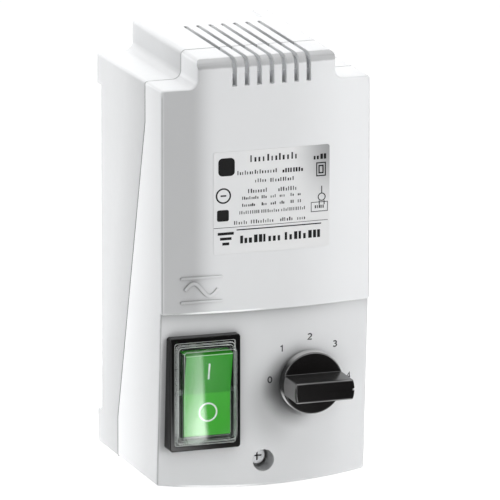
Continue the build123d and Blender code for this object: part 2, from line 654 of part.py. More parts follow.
def disc(y0, y1, r):
    return rod_y(KNOB_X, KNOB_Z, y0, y1, r)


def ring(y0, y1, outer_r, inner_r):
    return tube_y(KNOB_X, KNOB_Z, y0, y1, outer_r, inner_r)


def about_axis(half_w, y0, y1, z0, z1):
    """Box centred on the selector axis in x, with z measured from the axis."""
    return box(KNOB_X - half_w, KNOB_X + half_w, y0, y1, KNOB_Z + z0, KNOB_Z + z1)


def shaft_bore(y0, y1):
    return disc(y0, y1, 3.03) - about_axis(5, y0, y1, 2.38, 6)


def drill_tie_holes(body, y0, y1):
    for x, z in TIE_SCREWS:
        body -= rod_y(x, z, y0 - 1, y1 + 1, 1.6)
    return body


def knob():
    body = disc(DISC_Y, FRONT + 0.6, DISC_R)
    body = try_fillet(body, edges_at_y(body, DISC_Y), 1.1)
    grip = (about_axis(20, GRIP_Y, DISC_Y + 1, -GRIP_W / 2, GRIP_W / 2)
            & disc(GRIP_Y, DISC_Y + 1, DISC_R - 0.15))
    grip = try_fillet(grip, edges_at_y(grip, GRIP_Y), 1.3)
    grip = try_fillet(grip, [e for e in grip.edges() if e.length > 12
                             and abs((e @ 0).Y - (e @ 1).Y) > 10], 1.0)
    body = body + grip
    # pointer line on the front and at the right-hand end of the grip
    body -= box(KNOB_X + 1.0, KNOB_X + 20, GRIP_Y - 1, GRIP_Y + 0.5, KNOB_Z - 0.4, KNOB_Z + 0.4)
    body -= box(KNOB_X + DISC_R - 1.3, KNOB_X + 20, GRIP_Y - 1, GRIP_Y + 4.5,
                KNOB_Z - 0.55, KNOB_Z + 0.55)
    body -= disc(FRONT - 1.6, FRONT + 2, 10.5)
    body -= (disc(DISC_Y - 9.0, FRONT + 2, 3.05)
             - about_axis(5, DISC_Y - 12, FRONT - 1.0, -6, -2.4))
    return body - rod_z(KNOB_X, SET_SCREW_Y, KNOB_Z - 20, KNOB_Z - 2.0, 1.26)


def knob_set_screw():
    return (rod_z(KNOB_X, SET_SCREW_Y, KNOB_Z - 8.4, KNOB_Z - 2.45, 1.22)
            - hex_z(KNOB_X, SET_SCREW_Y, KNOB_Z - 9, KNOB_Z - 6.4, 1.3))


def selector_shaft():
    shaft = disc(DISC_Y - 8.6, SELECTOR_Y + 31.0, 3.0)
    shaft -= about_axis(5, DISC_Y - 12, FRONT - 1.0, -6, -2.35)
    return shaft - about_axis(5, SELECTOR_Y + 1.0, SELECTOR_Y + 28.0, 2.35, 6)


def selector_front_plate():
    plate = disc(FRONT + 0.4, SELECTOR_Y, 5.0) + disc(SELECTOR_Y, SELECTOR_Y + 2.0, DECK_R)
    return plate - disc(FRONT, SELECTOR_Y + 4, 3.06)


def selector_washer():
    return ring(FRONT + 2.4, FRONT + 2.95, 8.2, 5.1)


def selector_nut():
    return hex_y(KNOB_X, KNOB_Z, FRONT, FRONT + 2.35, 14.0) - disc(FRONT - 2, FRONT + 4, 5.05)


def index_deck():
    deck = ring(INDEX_Y, DECK_Y, DECK_R, 10.2)
    for side in (-1, 1):        # channels for the sprung balls
        deck -= rod_x(INDEX_MID_Y, KNOB_Z, KNOB_X + side * 9.0, KNOB_X + side * 16.8, 2.1)
    return drill_tie_holes(deck, INDEX_Y, DECK_Y)


def index_wheel():
    wheel = disc(INDEX_Y + 1.2, DECK_Y - 1.2, 9.4)
    for i in range(8):
        a = radians(45 * i)
        wheel -= rod_y(KNOB_X + 11.0 * cos(a), KNOB_Z + 11.0 * sin(a), INDEX_Y, DECK_Y, 2.35)
    return wheel - shaft_bore(INDEX_Y, DECK_Y)


def index_balls():
    return [Pos(KNOB_X + side * 11.5, INDEX_MID_Y, KNOB_Z) * Sphere(2.0) for side in (-1, 1)]


def index_springs():
    return [Pos(KNOB_X + side * 13.85, INDEX_MID_Y, KNOB_Z)
            * (Rot(0, side * 90, 0) * coil(pitch=0.8, height=2.6, radius=1.5, wire_r=0.22))
            for side in (-1, 1)]


def contact_deck():
    deck = ring(DECK_Y + 0.02, REAR_Y, DECK_R, 14.2)
    for angle in CONTACT_ANGLES:
        slot = Rot(0, -angle, 0) * box(13.0, 30.0, -1.55, 1.55, -3.05, 3.05)
        deck -= Pos(KNOB_X, CONTACT_Y, KNOB_Z) * slot
    return drill_tie_holes(deck, DECK_Y, REAR_Y)


def selector_contacts():
    contacts = []
    for angle in CONTACT_ANGLES:
        contact = box(12.2, 24.5, -0.6, 0.6, -2.6, 2.6) - rod_y(22.0, 0, -2, 2, 1.1)
        contact = contact + box(15.0, 17.6, -1.4, 1.4, -2.6, 2.6)
        if angle == 270:        # inner tongue towards the wiper
            contact = contact + box(8.6, 12.4, -0.6, 0.0, -1.4, 1.4)
        contacts.append(Pos(KNOB_X, CONTACT_Y, KNOB_Z) * (Rot(0, -angle, 0) * contact))
    return contacts


def selector_rotor():
    return disc(DECK_Y + 0.4, ROTOR_Y, 11.0) - shaft_bore(INDEX_Y, REAR_Y)


def wiper():
    y0, y1 = ROTOR_Y + 0.02, ROTOR_Y + 0.78
    return (ring(y0, y1, 9.6, 4.2)
            + box(KNOB_X + 8.0, KNOB_X + 13.6, y0, y1, KNOB_Z - 1.6, KNOB_Z + 1.6))


def selector_rear_plate():
    plate = ring(REAR_Y + 0.02, REAR_Y + 3.0, DECK_R, 3.06)
    return drill_tie_holes(plate, REAR_Y, REAR_Y + 3)


def selector_tie_screws():
    screws = []
    for x, z in TIE_SCREWS:
        screw = (rod_y(x, z, SELECTOR_Y + 2.05, REAR_Y + 3.1, 1.5)
                 + rod_y(x, z, REAR_Y + 3.02, REAR_Y + 5.0, 2.7))
        screws.append(screw - box(x - 3, x + 3, REAR_Y + 4.2, REAR_Y + 6, z - 0.35, z + 0.35))
    return screws


def retaining_clip():
    return (ring(REAR_Y + 3.1, REAR_Y + 3.8, 5.0, 3.02)
            - about_axis(1.6, REAR_Y + 3, REAR_Y + 4, -7, 0))


def shaft_seal():
    return ring(FRONT - 1.2, FRONT + 0.35, 4.6, 3.15)


# ---------------------------------------------------------------- terminal block
BLOCK_Y1 = BACK_INNER - 4.05
BLOCK_Y0 = BLOCK_Y1 - 16.0
BLOCK_BORE_Y = (BLOCK_Y0 + BLOCK_Y1) / 2 + 1.6  # axis of the wire holes
POLE_XS = [-20.0 + 8.0 * i for i in range(6)]
POLE_SCREW_ZS = (BLOCK_Z - 5.0, BLOCK_Z + 5.0)


def terminal_block():
    block = box(-33.0, 33.0, BLOCK_Y0, BLOCK_Y1, BLOCK_Z - 10, BLOCK_Z + 10)
    for x in POLE_XS:
        block -= box(x - 2.9, x + 2.9, BLOCK_Y0 + 4.0, BLOCK_Y1 - 3.0, BLOCK_Z - 12, BLOCK_Z + 12)
        for z in POLE_SCREW_ZS:
            block -= rod_y(x, z, BLOCK_Y0 - 1, BLOCK_Y0 + 5, 2.4)
    for x in BLOCK_SCREW_XS:
        block -= rod_y(x, BLOCK_Z, BLOCK_Y0 - 1, BLOCK_Y1 + 1, 1.8)
        block -= rod_y(x, BLOCK_Z, BLOCK_Y0 - 1, BLOCK_Y1 - 6.0, 3.6)
    return block


def terminal_clamps():
    clamps = []
    for x in POLE_XS:
        clamp = box(x - 2.8, x + 2.8, BLOCK_Y0 + 4.1, BLOCK_Y1 - 3.1, BLOCK_Z - 9, BLOCK_Z + 9)
        clamp -= rod_z(x, BLOCK_BORE_Y, BLOCK_Z - 12, BLOCK_Z + 12, 2.0)
        for z in POLE_SCREW_ZS:
            clamp -= rod_y(x, z, BLOCK_Y0, BLOCK_Y0 + 8.4, 1.56)
        clamps.append(clamp)
    return clamps


def terminal_screws():
    return [(rod_y(x, z, BLOCK_Y0 + 0.8, BLOCK_Y0 + 2.6, 2.2)
             + rod_y(x, z, BLOCK_Y0 + 2.5, BLOCK_Y0 + 7.6, 1.5))
            - box(x - 3, x + 3, BLOCK_Y0, BLOCK_Y0 + 1.5, z - 0.3, z + 0.3)
            for x in POLE_XS for z in POLE_SCREW_ZS]


def block_screws():
    return [(rod_y(x, BLOCK_Z, BLOCK_Y1 - 8.0, BLOCK_Y1 - 6.05, 3.0)
             + rod_y(x, BLOCK_Z, BLOCK_Y1 - 6.1, BACK_INNER - 0.8, 1.5))
            - box(x - 4, x + 4, BLOCK_Y1 - 9, BLOCK_Y1 - 7.2, BLOCK_Z - 0.4, BLOCK_Z + 0.4)
            for x in BLOCK_SCREW_XS]


# ---------------------------------------------------------------- cable glands
def gland_bodies():
    bodies = []
    for x in GLAND_XS:
        body = (hex_z(x, GLAND_Y, -8.4, -3.35, 20.0) + rod_z(x, GLAND_Y, -3.4, 9.0, 8.0)
                + rod_z(x, GLAND_Y, -13.0, -8.4, 7.4))
        body -= rod_z(x, GLAND_Y, -20, 12, 4.3)
        bodies.append(body - rod_z(x, GLAND_Y, -14, -9.0, 6.2))
    return bodies


def gland_nuts():
    nuts = []
    for x in GLAND_XS:
        nut = rod_z(x, GLAND_Y, -19.4, -8.45, 10.0)
        rim = nut.edges().filter_by(GeomType.CIRCLE).sort_by(Axis.Z)[0:1]
        nut = try_fillet(nut, rim, 3.0) & hex_z(x, GLAND_Y, -20, -8, 19.2)
        nut -= rod_z(x, GLAND_Y, -16.9, -8, 7.5)
        nuts.append(nut - rod_z(x, GLAND_Y, -25, -8, 4.6))
    return nuts


def gland_seals():
    return [rod_z(x, GLAND_Y, -16.8, -9.1, 6.1) - rod_z(x, GLAND_Y, -20, -5, 4.0)
            for x in GLAND_XS]


def gland_locknuts():
    return [hex_z(x, GLAND_Y, 3.05, 7.0, 20.0) - rod_z(x, GLAND_Y, 2, 9, 8.05)
            for x in GLAND_XS]


# ---------------------------------------------------------------- wiring
LEAD_R = 1.15
LEAD_CONTACT_R = 22.4           # selector axis to the lead ends
TAG_Y, TAG_Z = CORE_Y0 - 17.3, WINDOW_Z0 - 10.0     # lead ends at the tags


def lead(*points):
    return sweep_circle(LEAD_R, Spline(*points))


def tap_leads():
    """From the transformer tags down to five selector contacts."""
    leads = []
    for tag_x, angle in zip(TAG_XS[1:], (180, 135, 90, 45, 0)):
        x = KNOB_X + LEAD_CONTACT_R * cos(radians(angle))
        z = KNOB_Z + LEAD_CONTACT_R * sin(radians(angle))
        leads.append(lead(
            (tag_x, TAG_Y, TAG_Z), (tag_x, TAG_Y + 0.3, TAG_Z - 7.0),
            (0.35 * tag_x + 0.65 * x, TAG_Y + 1.5, 0.4 * TAG_Z + 0.6 * z + 3.0),
            (x, CONTACT_Y - 7.5, z + 4.0), (x, CONTACT_Y - 3.2, z + 0.2), (x, CONTACT_Y - 0.9, z)))
    return leads


def supply_leads():
    left, right = COLUMN_XS
    bore_y, blade_y, block_top = BLOCK_BORE_Y, FRONT + 38.6, 49.2
    # (x, y, z) points along each lead
    routes = [
        # block to the lower switch terminals
        ((-20.0, bore_y, block_top), (-20.0, bore_y - 1, 56.0), (-30.0, -38.0, 52.0),
         (-38.0, -55.0, 38.0), (left, blade_y, CONTACT_Z)),
        ((-12.0, bore_y, block_top), (-12.0, bore_y - 1, 55.0), (-18.0, -38.0, 47.0),
         (-25.0, -55.0, 37.0), (right, blade_y, CONTACT_Z)),
        # upper switch terminals to the first tag and back to the block
        ((left, blade_y, PIVOT_Z), (left - 0.5, blade_y + 6, SWITCH_Z + 4), (-42.0, -58.0, 75.0),
         (-36.0, -76.0, 98.0), (TAG_XS[0], TAG_Y, TAG_Z - 6.0), (TAG_XS[0], TAG_Y, TAG_Z)),
        ((right, blade_y, PIVOT_Z), (right + 0.5, blade_y + 6, SWITCH_Z + 4),
         (-12.0, -42.0, 62.0), (3.0, bore_y - 4, 60.0), (4.0, bore_y, block_top)),
        # lowest selector contact to the block
        ((KNOB_X, CONTACT_Y + 0.9, KNOB_Z - LEAD_CONTACT_R), (KNOB_X, CONTACT_Y + 4, KNOB_Z - 22.2),
         (21.0, -50.0, 31.0), (20.0, -32.0, 22.0), (20.0, bore_y, 26.0), (20.0, bore_y, 30.8))]
    return [lead(*route) for route in routes]


# ---------------------------------------------------------------- output
# Each function gives its name to the file it fills.
PIECES = [
    front_cover, rear_housing, cover_seal, cover_screw, cover_insert, rating_label, vent_baffle,
    core_e_stack, core_i_stack, clamp_frame_rear, clamp_frame_front, core_washers, core_bolts,
    pillar_inserts, coil_bobbin, winding, winding_wrap, thermal_cutout, cutout_clip, tap_tags,
    switch_bezel, splash_boot, switch_body, rocker_pin, rocker, plunger, plunger_spring,
    neon_lamp, lamp_resistor, contact_arms, switch_terminals,
    knob, knob_set_screw, selector_shaft, selector_front_plate, selector_washer, selector_nut,
    index_deck, index_wheel, index_balls, index_springs, contact_deck, selector_contacts,
    selector_rotor, wiper, selector_rear_plate, selector_tie_screws, retaining_clip, shaft_seal,
    terminal_block, terminal_clamps, terminal_screws, block_screws,
    gland_bodies, gland_nuts, gland_seals, gland_locknuts, tap_leads, supply_leads,
]


def save(name, made):
    shapes = made if isinstance(made, list) else [made]
    solids = [Pos(0, 0, -ORIGIN_Z) * solid for shape in shapes for solid in shape.solids()]
    export_step(solids[0] if len(solids) == 1 else Compound(solids), f"parts/{name}.step")


os.makedirs("parts", exist_ok=True)
for piece in PIECES:
    save(piece.__name__, piece())
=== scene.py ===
# An electrical controller in a pale plastic housing. The front carries a rating label above,
# and below it a green rocker under a clear boot (left) and a black dial knob (right).
# Metres, +Z up. The front faces -Y; left is -X, as seen from the front.
import math

import bmesh
import bpy
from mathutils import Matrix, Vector
from mathutils.bvhtree import BVHTree


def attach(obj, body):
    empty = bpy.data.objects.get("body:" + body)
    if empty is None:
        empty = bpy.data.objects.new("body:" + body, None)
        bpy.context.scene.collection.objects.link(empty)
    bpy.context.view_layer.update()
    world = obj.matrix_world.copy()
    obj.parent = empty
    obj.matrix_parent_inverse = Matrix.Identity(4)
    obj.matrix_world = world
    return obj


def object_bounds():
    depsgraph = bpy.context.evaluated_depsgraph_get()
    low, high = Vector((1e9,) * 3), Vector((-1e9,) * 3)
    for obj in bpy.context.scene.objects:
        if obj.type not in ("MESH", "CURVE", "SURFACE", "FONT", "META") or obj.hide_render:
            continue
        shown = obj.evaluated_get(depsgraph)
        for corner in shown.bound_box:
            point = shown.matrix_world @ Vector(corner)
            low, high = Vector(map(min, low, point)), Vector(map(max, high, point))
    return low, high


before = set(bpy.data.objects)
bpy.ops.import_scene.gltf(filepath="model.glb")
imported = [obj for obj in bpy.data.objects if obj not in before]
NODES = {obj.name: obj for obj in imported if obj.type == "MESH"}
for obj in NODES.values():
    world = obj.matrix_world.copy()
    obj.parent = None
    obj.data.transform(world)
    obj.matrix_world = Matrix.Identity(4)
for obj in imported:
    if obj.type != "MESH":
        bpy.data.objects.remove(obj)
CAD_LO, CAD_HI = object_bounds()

ORIGIN_Z = 0.102                    # height of the part's origin above its lower corners
KNOB_X, KNOB_Z = 0.0214, -0.0537    # centre of the dial knob
SCREW_X, SCREW_Z = -0.0005, -0.0917    # centre of the cover screw

MIDDLE = (0.3, 0.7)     # the range that holds most noise values
GRAIN = (0.35, 0.68)    # the same for fine mould grain
WHITE = (1, 1, 1, 1)


# ---------------------------------------------------------------- node graph helper
class Graph:
    """A shader node tree written as nested calls."""

    def __init__(self, owner, output):
        owner.use_nodes = True
        self.owner = owner
        self.tree = owner.node_tree
        self.tree.nodes.clear()
        self.output = self.node(output)
        self.coords = self.node("TexCoord").outputs
        self.place = self.coords["Object"]

    def node(self, kind, inputs=None, **props):
        made = self.tree.nodes.new("ShaderNode" + kind)
        for key, value in props.items():
            setattr(made, key, value)
        for key, value in (inputs or {}).items():
            if isinstance(value, bpy.types.Node):
                value = value.outputs[0]
            if isinstance(value, bpy.types.NodeSocket):
                self.tree.links.new(value, made.inputs[key])
            else:
                made.inputs[key].default_value = value
        return made

    def math(self, operation, first, second=0.0, third=None, clamp=False):
        inputs = {0: first, 1: second}
        if third is not None:
            inputs[2] = third
        return self.node("Math", inputs, operation=operation, use_clamp=clamp).outputs[0]

    def times(self, product, *factors):
        for factor in factors:
            product = self.math("MULTIPLY", product, factor)
        return product

    def add(self, first, second):
        return self.math("ADD", first, second)

    def minus(self, first, second, clamp=False):
        return self.math("SUBTRACT", first, second, clamp=clamp)

    def absolute(self, value):
        return self.math("ABSOLUTE", value)

    def hypot(self, first, second):
        return self.math("SQRT", self.add(self.times(first, first), self.times(second, second)))

    def vector(self, operation, *values, output="Vector"):
        made = self.node("VectorMath", dict(enumerate(values)), operation=operation)
        return made.outputs[output]

    def axes(self, vector):
        return tuple(self.node("SeparateXYZ", {0: vector}).outputs)

    def normal_axes(self):
        return self.axes(self.node("NewGeometry").outputs["Normal"])

    def noise(self, scale, detail=2.0, rough=0.5, place=None):
        return self.node("TexNoise", {"Vector": place or self.place, "Scale": scale,
                                      "Detail": detail, "Roughness": rough}).outputs["Fac"]

    def stretch(self, x, y, z):
        return self.node("Mapping", {"Vector": self.place, "Scale": (x, y, z)}).outputs[0]

    def span(self, value, source, to=(0, 1), smooth=False):
        """Carries value from the source range to another, clamped, with eased ends if smooth."""
        inputs = {"Value": value, "From Min": source[0], "From Max": source[1],
                  "To Min": to[0], "To Max": to[1]}
        easing = "SMOOTHSTEP" if smooth else "LINEAR"
        return self.node("MapRange", inputs, clamp=True, interpolation_type=easing).outputs[0]

    def mix(self, factor, first, second):
        return self.node("Mix", {0: factor, 6: first, 7: second}, data_type="RGBA").outputs[2]

    def mix_shader(self, factor, first, second):
        return self.node("MixShader", {0: factor, 1: first, 2: second})

    def bump(self, height, strength, distance, normal=None):
        inputs = {"Height": height, "Strength": strength, "Distance": distance}
        if normal is not None:
            inputs["Normal"] = normal
        return self.node("Bump", inputs).outputs[0]

    def bevel(self, radius, samples=4):
        return self.node("Bevel", {"Radius": radius}, samples=samples).outputs[0]

    def edges(self, radius, samples=4):
        """The rounded normal, and a 0..1 mask of convex and concave edges."""
        rounded = self.bevel(radius, samples)
        flat = self.node("NewGeometry").outputs["Normal"]
        agreement = self.vector("DOT_PRODUCT", rounded, flat, output="Value")
        return rounded, self.span(agreement, (0.995, 0.80))

    def close(self, shader):
        self.tree.links.new(shader.outputs[0], self.output.inputs[0])
        return self.owner

    def principled(self, tone, roughness, normal, more):
        inputs = {"Base Color": tone, "Roughness": roughness, "Normal": normal, **more}
        return self.close(self.node("BsdfPrincipled", inputs))


def material_graph(name):
    return Graph(bpy.data.materials.new(name), "OutputMaterial")


def rgb(*display):
    """A linear colour from 0..255 display values."""
    linear = [((v / 255 + 0.055) / 1.055) ** 2.4 if v > 10 else v / 255 / 12.92 for v in display]
    return (*linear, 1.0)


def scaled(colour, factor):
    return (*(min(1, part * factor) for part in colour[:3]), 1.0)


# ---------------------------------------------------------------- material families
def plastic(name, colour, rough, grain, relief, strength, wear, edge_radius=0.0003, mottle=0.02,
            coat=0.0, specular=0.5, subsurface=0.0, rough_var=0.05, line=0.0):
    """Moulded plastic with eroded-mould grain and slightly polished, paler edges.

    grain is a noise scale and relief its depth; mottle and wear are amounts of tone change over
    the body and at the edges; line is the amount of painted highlight, pale grey drawn along the edges.
    """
    mat = material_graph(name)
    slow = mat.noise(28, detail=3, rough=0.55)
    mid = mat.noise(240)
    fine = mat.noise(grain, detail=3, rough=0.62)
    rounded, edge = mat.edges(edge_radius)
    tone = mat.mix(mat.span(slow, MIDDLE), scaled(colour, 1 - mottle), scaled(colour, 1 + mottle))
    tone = mat.mix(mat.span(fine, GRAIN, to=(0, 0.5)), tone, scaled(colour, 1 - 1.6 * mottle))
    tone = mat.mix(mat.times(edge, wear), tone, scaled(colour, 1.25))
    # painted highlight: pale grey along the edges
    if line:
        tone = mat.mix(mat.times(edge, line), tone, rgb(168, 168, 170))
        # weaker mirror on faces turned left
        specular = mat.span(mat.normal_axes()[0], (-0.9, -0.6), to=(0.10, specular))
    roughness = mat.add(mat.span(mid, MIDDLE, to=(rough - rough_var, rough + rough_var)),
                        mat.times(edge, -0.08))
    return mat.principled(tone, roughness, mat.bump(fine, strength, relief, rounded), {
        "IOR": 1.5, "Specular IOR Level": specular, "Coat Weight": coat, "Coat Roughness": 0.08,
        "Subsurface Weight": subsurface, "Subsurface Radius": (0.002, 0.002, 0.002),
        "Subsurface Scale": 1.0, "Emission Color": tone, "Emission Strength": 0.0,
        "Sheen Weight": 0.0, "Sheen Roughness": 0.25})


SHADE = (0.02, 0.02, 0.021, 1)
SOFT_SHADE = (0.03, 0.03, 0.031, 1)


def facing_front(mat, normal_y):
    return mat.span(normal_y, (-0.7, -0.95))


def on_upper_panel(mat, y, to=(0, 1)):
    """The upper panel stands proud of the rest of the front."""
    return mat.span(y, (-0.1013, -0.1016), to=to)


def shell_corner_shade(mat, tone, place, normal_y):
    x, y, z = place
    # painted shade in hollows, mostly below the top of the housing
    access = mat.node("AmbientOcclusion", {"Distance": 0.011}, samples=8).outputs["AO"]
    openness = mat.span(access, (0.45, 1.0), to=(0.62, 1.0), smooth=True)
    hollow = mat.times(mat.minus(1.0, openness),
                       mat.span(z, (0.0985, 0.1020), to=(1.0, 0.12)))
    tone = mat.mix(hollow, tone, SHADE)
    # painted shade on the set-back front, fading downwards from the foot of the upper panel
    below = mat.minus(0.0897 - ORIGIN_Z, z)
    fade = mat.math("POWER", 2.718, mat.times(mat.math("MAXIMUM", below, 0.0), -1 / 0.0042))
    set_back = mat.times(mat.span(y, (-0.10135, -0.10110)), mat.span(normal_y, (-0.7, -0.9)))
    tone = mat.mix(mat.times(fade, set_back, 0.42), tone, SHADE)
    # painted shade as a fine dark line along the left corner of the front
    corner = mat.times(mat.span(x, (-0.0541, -0.0547)), mat.span(normal_y, (-0.45, -0.75)),
                       mat.span(z, (0.0985, 0.1005), to=(1, 0)), 0.62)
    return mat.mix(corner, tone, (0.05, 0.05, 0.052, 1))


def shell_front_painted_light(mat, tone, colour, place, normal_y):
    """Painted shade on the left edge of the upper panel, painted light on the rest of that panel, and
    more painted light on the right half of the front.
    """
    x, y, _ = place
    left = mat.times(mat.span(x, (-0.0395, -0.0225), to=(1, 0), smooth=True),
                     on_upper_panel(mat, y), facing_front(mat, normal_y))
    tone = mat.mix(mat.times(left, 0.32), tone, SOFT_SHADE)
    upper = mat.times(on_upper_panel(mat, y), facing_front(mat, normal_y), mat.minus(1.0, left))
    tone = mat.mix(upper, tone, scaled(colour, 1.05))
    right = mat.times(mat.span(x, (0.006, 0.050), smooth=True), facing_front(mat, normal_y),
                      on_upper_panel(mat, y, to=(0.55, 1.0)))
    return mat.mix(right, tone, scaled(colour, 1.23))


def shell_side_painted_light(mat, tone, colour, place, normal_x):
    """Painted light on the sides in front of the sloping parting line, painted shade on the sides
    behind it.
    """
    _, y, z = place
    parting = mat.span(z, (-0.0811, 0.0816), to=(-0.03165, -0.0761))
    behind = mat.minus(y, parting)
    joint = (-0.0005, 0.0005)
    front = mat.times(mat.span(behind, joint, to=(1, 0)),
                      mat.span(behind, (-0.045, -0.002), to=(0.25, 1.0)))
    rear = mat.times(mat.span(behind, joint), mat.span(behind, (0.0, 0.032), to=(1.0, 0.0)))
    side = mat.span(mat.absolute(normal_x), (0.75, 0.9))
    tone = mat.mix(mat.times(front, side), tone, scaled(colour, 1.24))
    return mat.mix(mat.times(rear, side), tone, scaled(colour, 0.86))


def shell_knob_shade(mat, tone, place, normal_y):
    """Shade on the front: close round the knob's left, and in a broad oval left of it."""
    x, _, z = place
    from_x = mat.add(x, -KNOB_X)
    away = mat.hypot(from_x, mat.add(z, -KNOB_Z))
    near = mat.times(mat.span(away, (0.0135, 0.0250), to=(0.50, 0), smooth=True),
                     mat.span(from_x, (-0.006, 0.006), to=(1, 0), smooth=True))
    # oval centred at x 0.0040, z -0.0615, with half axes 0.0190 and 0.0290
    oval = mat.hypot(mat.times(mat.add(x, -0.0040), 1 / 0.0190),
                     mat.times(mat.add(z, 0.0615), 1 / 0.0290))
    cast = mat.add(near, mat.span(oval, (0.15, 1.0), to=(0.36, 0), smooth=True))
    low_front = mat.times(facing_front(mat, normal_y), mat.span(z, (-0.03, -0.024), to=(1, 0)))
    return mat.mix(mat.times(cast, low_front), tone, SOFT_SHADE)


def shell_painted_glow(mat, place, normal):
    """Painted light by emission: a painted highlight on the upper panel's lower lip, and painted light
    on the rear part of the vent slot walls.
    """
    x, y, z = place
    normal_x, normal_y, normal_z = normal
    # height above a line that rises by 0.001 at 0.055 either side of the middle
    half_width = mat.times(x, 1 / 0.055)
    above = mat.add(mat.add(z, 0.0133), mat.times(half_width, half_width, -0.001))
    ends = mat.times(mat.span(x, (-0.046, -0.036)), mat.span(x, (-0.014, 0.0), to=(1, 0.2)))
    lip = mat.times(mat.span(above, (0.0016, 0.0022), to=(1, 0)),
                    mat.span(normal_z, (-0.08, -0.26)),
                    mat.span(normal_y, (-0.35, -0.60)), ends)
    slot = mat.times(mat.span(mat.absolute(x), (0.0285, 0.0290), to=(1, 0)),
                     mat.span(mat.absolute(normal_x), (0.35, 0.6)),
                     mat.span(z, (0.1125, 0.1135)),
                     mat.span(y, (-0.050, -0.028), to=(0, 0.17), smooth=True))
    return mat.add(mat.times(lip, 0.40), slot)


def shell_plastic(name, colour):
    """Pale moulded shell: mould grain, painted shade in corners, on the crown and round the knob,
    painted light and shade on the front and sides, a painted highlight on the lower lip and painted
    light on the vent slot walls.
    """
    mat = material_graph(name)
    slow = mat.noise(28, detail=3, rough=0.55)
    mid = mat.noise(240)
    fine = mat.noise(1500, detail=3, rough=0.62)
    rounded, edge = mat.edges(0.0005)
    normal = mat.normal_axes()
    normal_x, normal_y, normal_z = normal
    place = mat.axes(mat.place)
    tone = mat.mix(mat.span(slow, MIDDLE), scaled(colour, 0.988), scaled(colour, 1.012))
    tone = mat.mix(mat.span(fine, GRAIN, to=(0, 0.5)), tone, scaled(colour, 0.98))
    tone = shell_corner_shade(mat, tone, place, normal_y)
    tone = shell_front_painted_light(mat, tone, colour, place, normal_y)
    tone = shell_side_painted_light(mat, tone, colour, place, normal_x)
    tone = shell_knob_shade(mat, tone, place, normal_y)
    # a painted dark band of reflection on the crown, where it slopes up and to the front
    lean = mat.times(normal_z, normal_y, -2.0)
    crown = mat.times(mat.span(lean, (0.30, 0.62), smooth=True),
                      mat.span(place[2], (0.1085, 0.1100)), 0.44)
    tone = mat.mix(crown, tone, (0.12, 0.12, 0.122, 1))
    roughness = mat.add(mat.span(mid, MIDDLE, to=(0.42, 0.52)), mat.times(edge, -0.08))
    flow = mat.noise(40, detail=1, rough=0.4, place=mat.stretch(1, 1, 0.2))
    relief = mat.bump(mat.add(fine, mat.times(flow, 0.4)), strength=0.22, distance=0.00005,
                      normal=rounded)
    return mat.principled(tone, roughness, relief, {
        "IOR": 1.5, "Specular IOR Level": 0.5, "Emission Color": WHITE,
        "Emission Strength": shell_painted_glow(mat, place, normal)})


def metal(name, colour, rough, tarnish=0.1, dark=0.6):
    """Machined or plated metal: fine scratches, cloudy tarnish, brighter edges."""
    mat = material_graph(name)
    scratches = mat.noise(1.0, detail=4, rough=0.6, place=mat.stretch(40, 40, 900))
    cloud = mat.noise(90, detail=4, rough=0.6)
    pits = mat.noise(2600)
    rounded, edge = mat.edges(0.0002)
    tone = mat.mix(mat.span(cloud, (0.35, 0.75), to=(0, tarnish)), colour, scaled(colour, dark))
    tone = mat.mix(mat.times(edge, 0.35), tone, scaled(colour, 1.25))
    roughness = mat.add(mat.span(scratches, MIDDLE, to=(rough - 0.07, rough + 0.1)),
                        mat.span(cloud, (0.4, 0.8), to=(0, 0.12)))
    relief = mat.bump(mat.add(scratches, mat.times(pits, 0.3)), strength=0.3, distance=0.00002,
                      normal=rounded)
    return mat.principled(tone, roughness, relief, {"Metallic": 1.0})


def rubber(name, colour, rough):
    """Dull rubber with a pale bloom and pale edges."""
    mat = material_graph(name)
    fine = mat.noise(1400, detail=4, rough=0.6)
    bloom = mat.noise(60, detail=3, rough=0.6)
    rounded, edge = mat.edges(0.0003)
    tone = mat.mix(mat.span(bloom, (0.4, 0.75), to=(0, 0.35)), colour, scaled(colour, 1.7))
    tone = mat.mix(mat.times(edge, 0.2), tone, scaled(colour, 2.0))
    relief = mat.bump(fine, strength=0.5, distance=0.00005, normal=rounded)
    roughness = mat.span(fine, MIDDLE, to=(rough - 0.08, rough + 0.08))
    return mat.principled(tone, roughness, relief, {"Sheen Weight": 0.1})


def laminated(name):
    """Steel sheets stacked along Y: thin sheet edges with oxide tint and varnish."""
    per_metre = 1.0 / 0.0005    # sheets in a metre
    mat = material_graph(name)
    y = mat.axes(mat.place)[1]
    across = mat.math("FRACT", mat.times(y, per_metre))
    off_middle = mat.absolute(mat.minus(across, 0.5))
    gap = mat.minus(1.0, mat.span(off_middle, (0.33, 0.5)), clamp=True)
    sheet = mat.node("TexWhiteNoise", {"W": mat.math("FLOOR", mat.times(y, per_metre))},
                     noise_dimensions="1D").outputs["Value"]
    rust = mat.noise(160, detail=4, rough=0.65)
    tone = mat.mix(sheet, rgb(96, 98, 104), rgb(128, 128, 130))
    tone = mat.mix(mat.span(rust, (0.55, 0.8), to=(0, 0.5)), tone, rgb(96, 62, 40))
    tone = mat.mix(gap, rgb(20, 18, 18), tone)
    relief = mat.bump(mat.add(gap, mat.times(mat.noise(1500), 0.2)),
                      strength=0.5, distance=0.00012)
    return mat.principled(tone, mat.span(rust, (0.3, 0.8), to=(0.34, 0.6)), relief, {
        "Metallic": 0.75, "Coat Weight": 0.25, "Coat Roughness": 0.25})


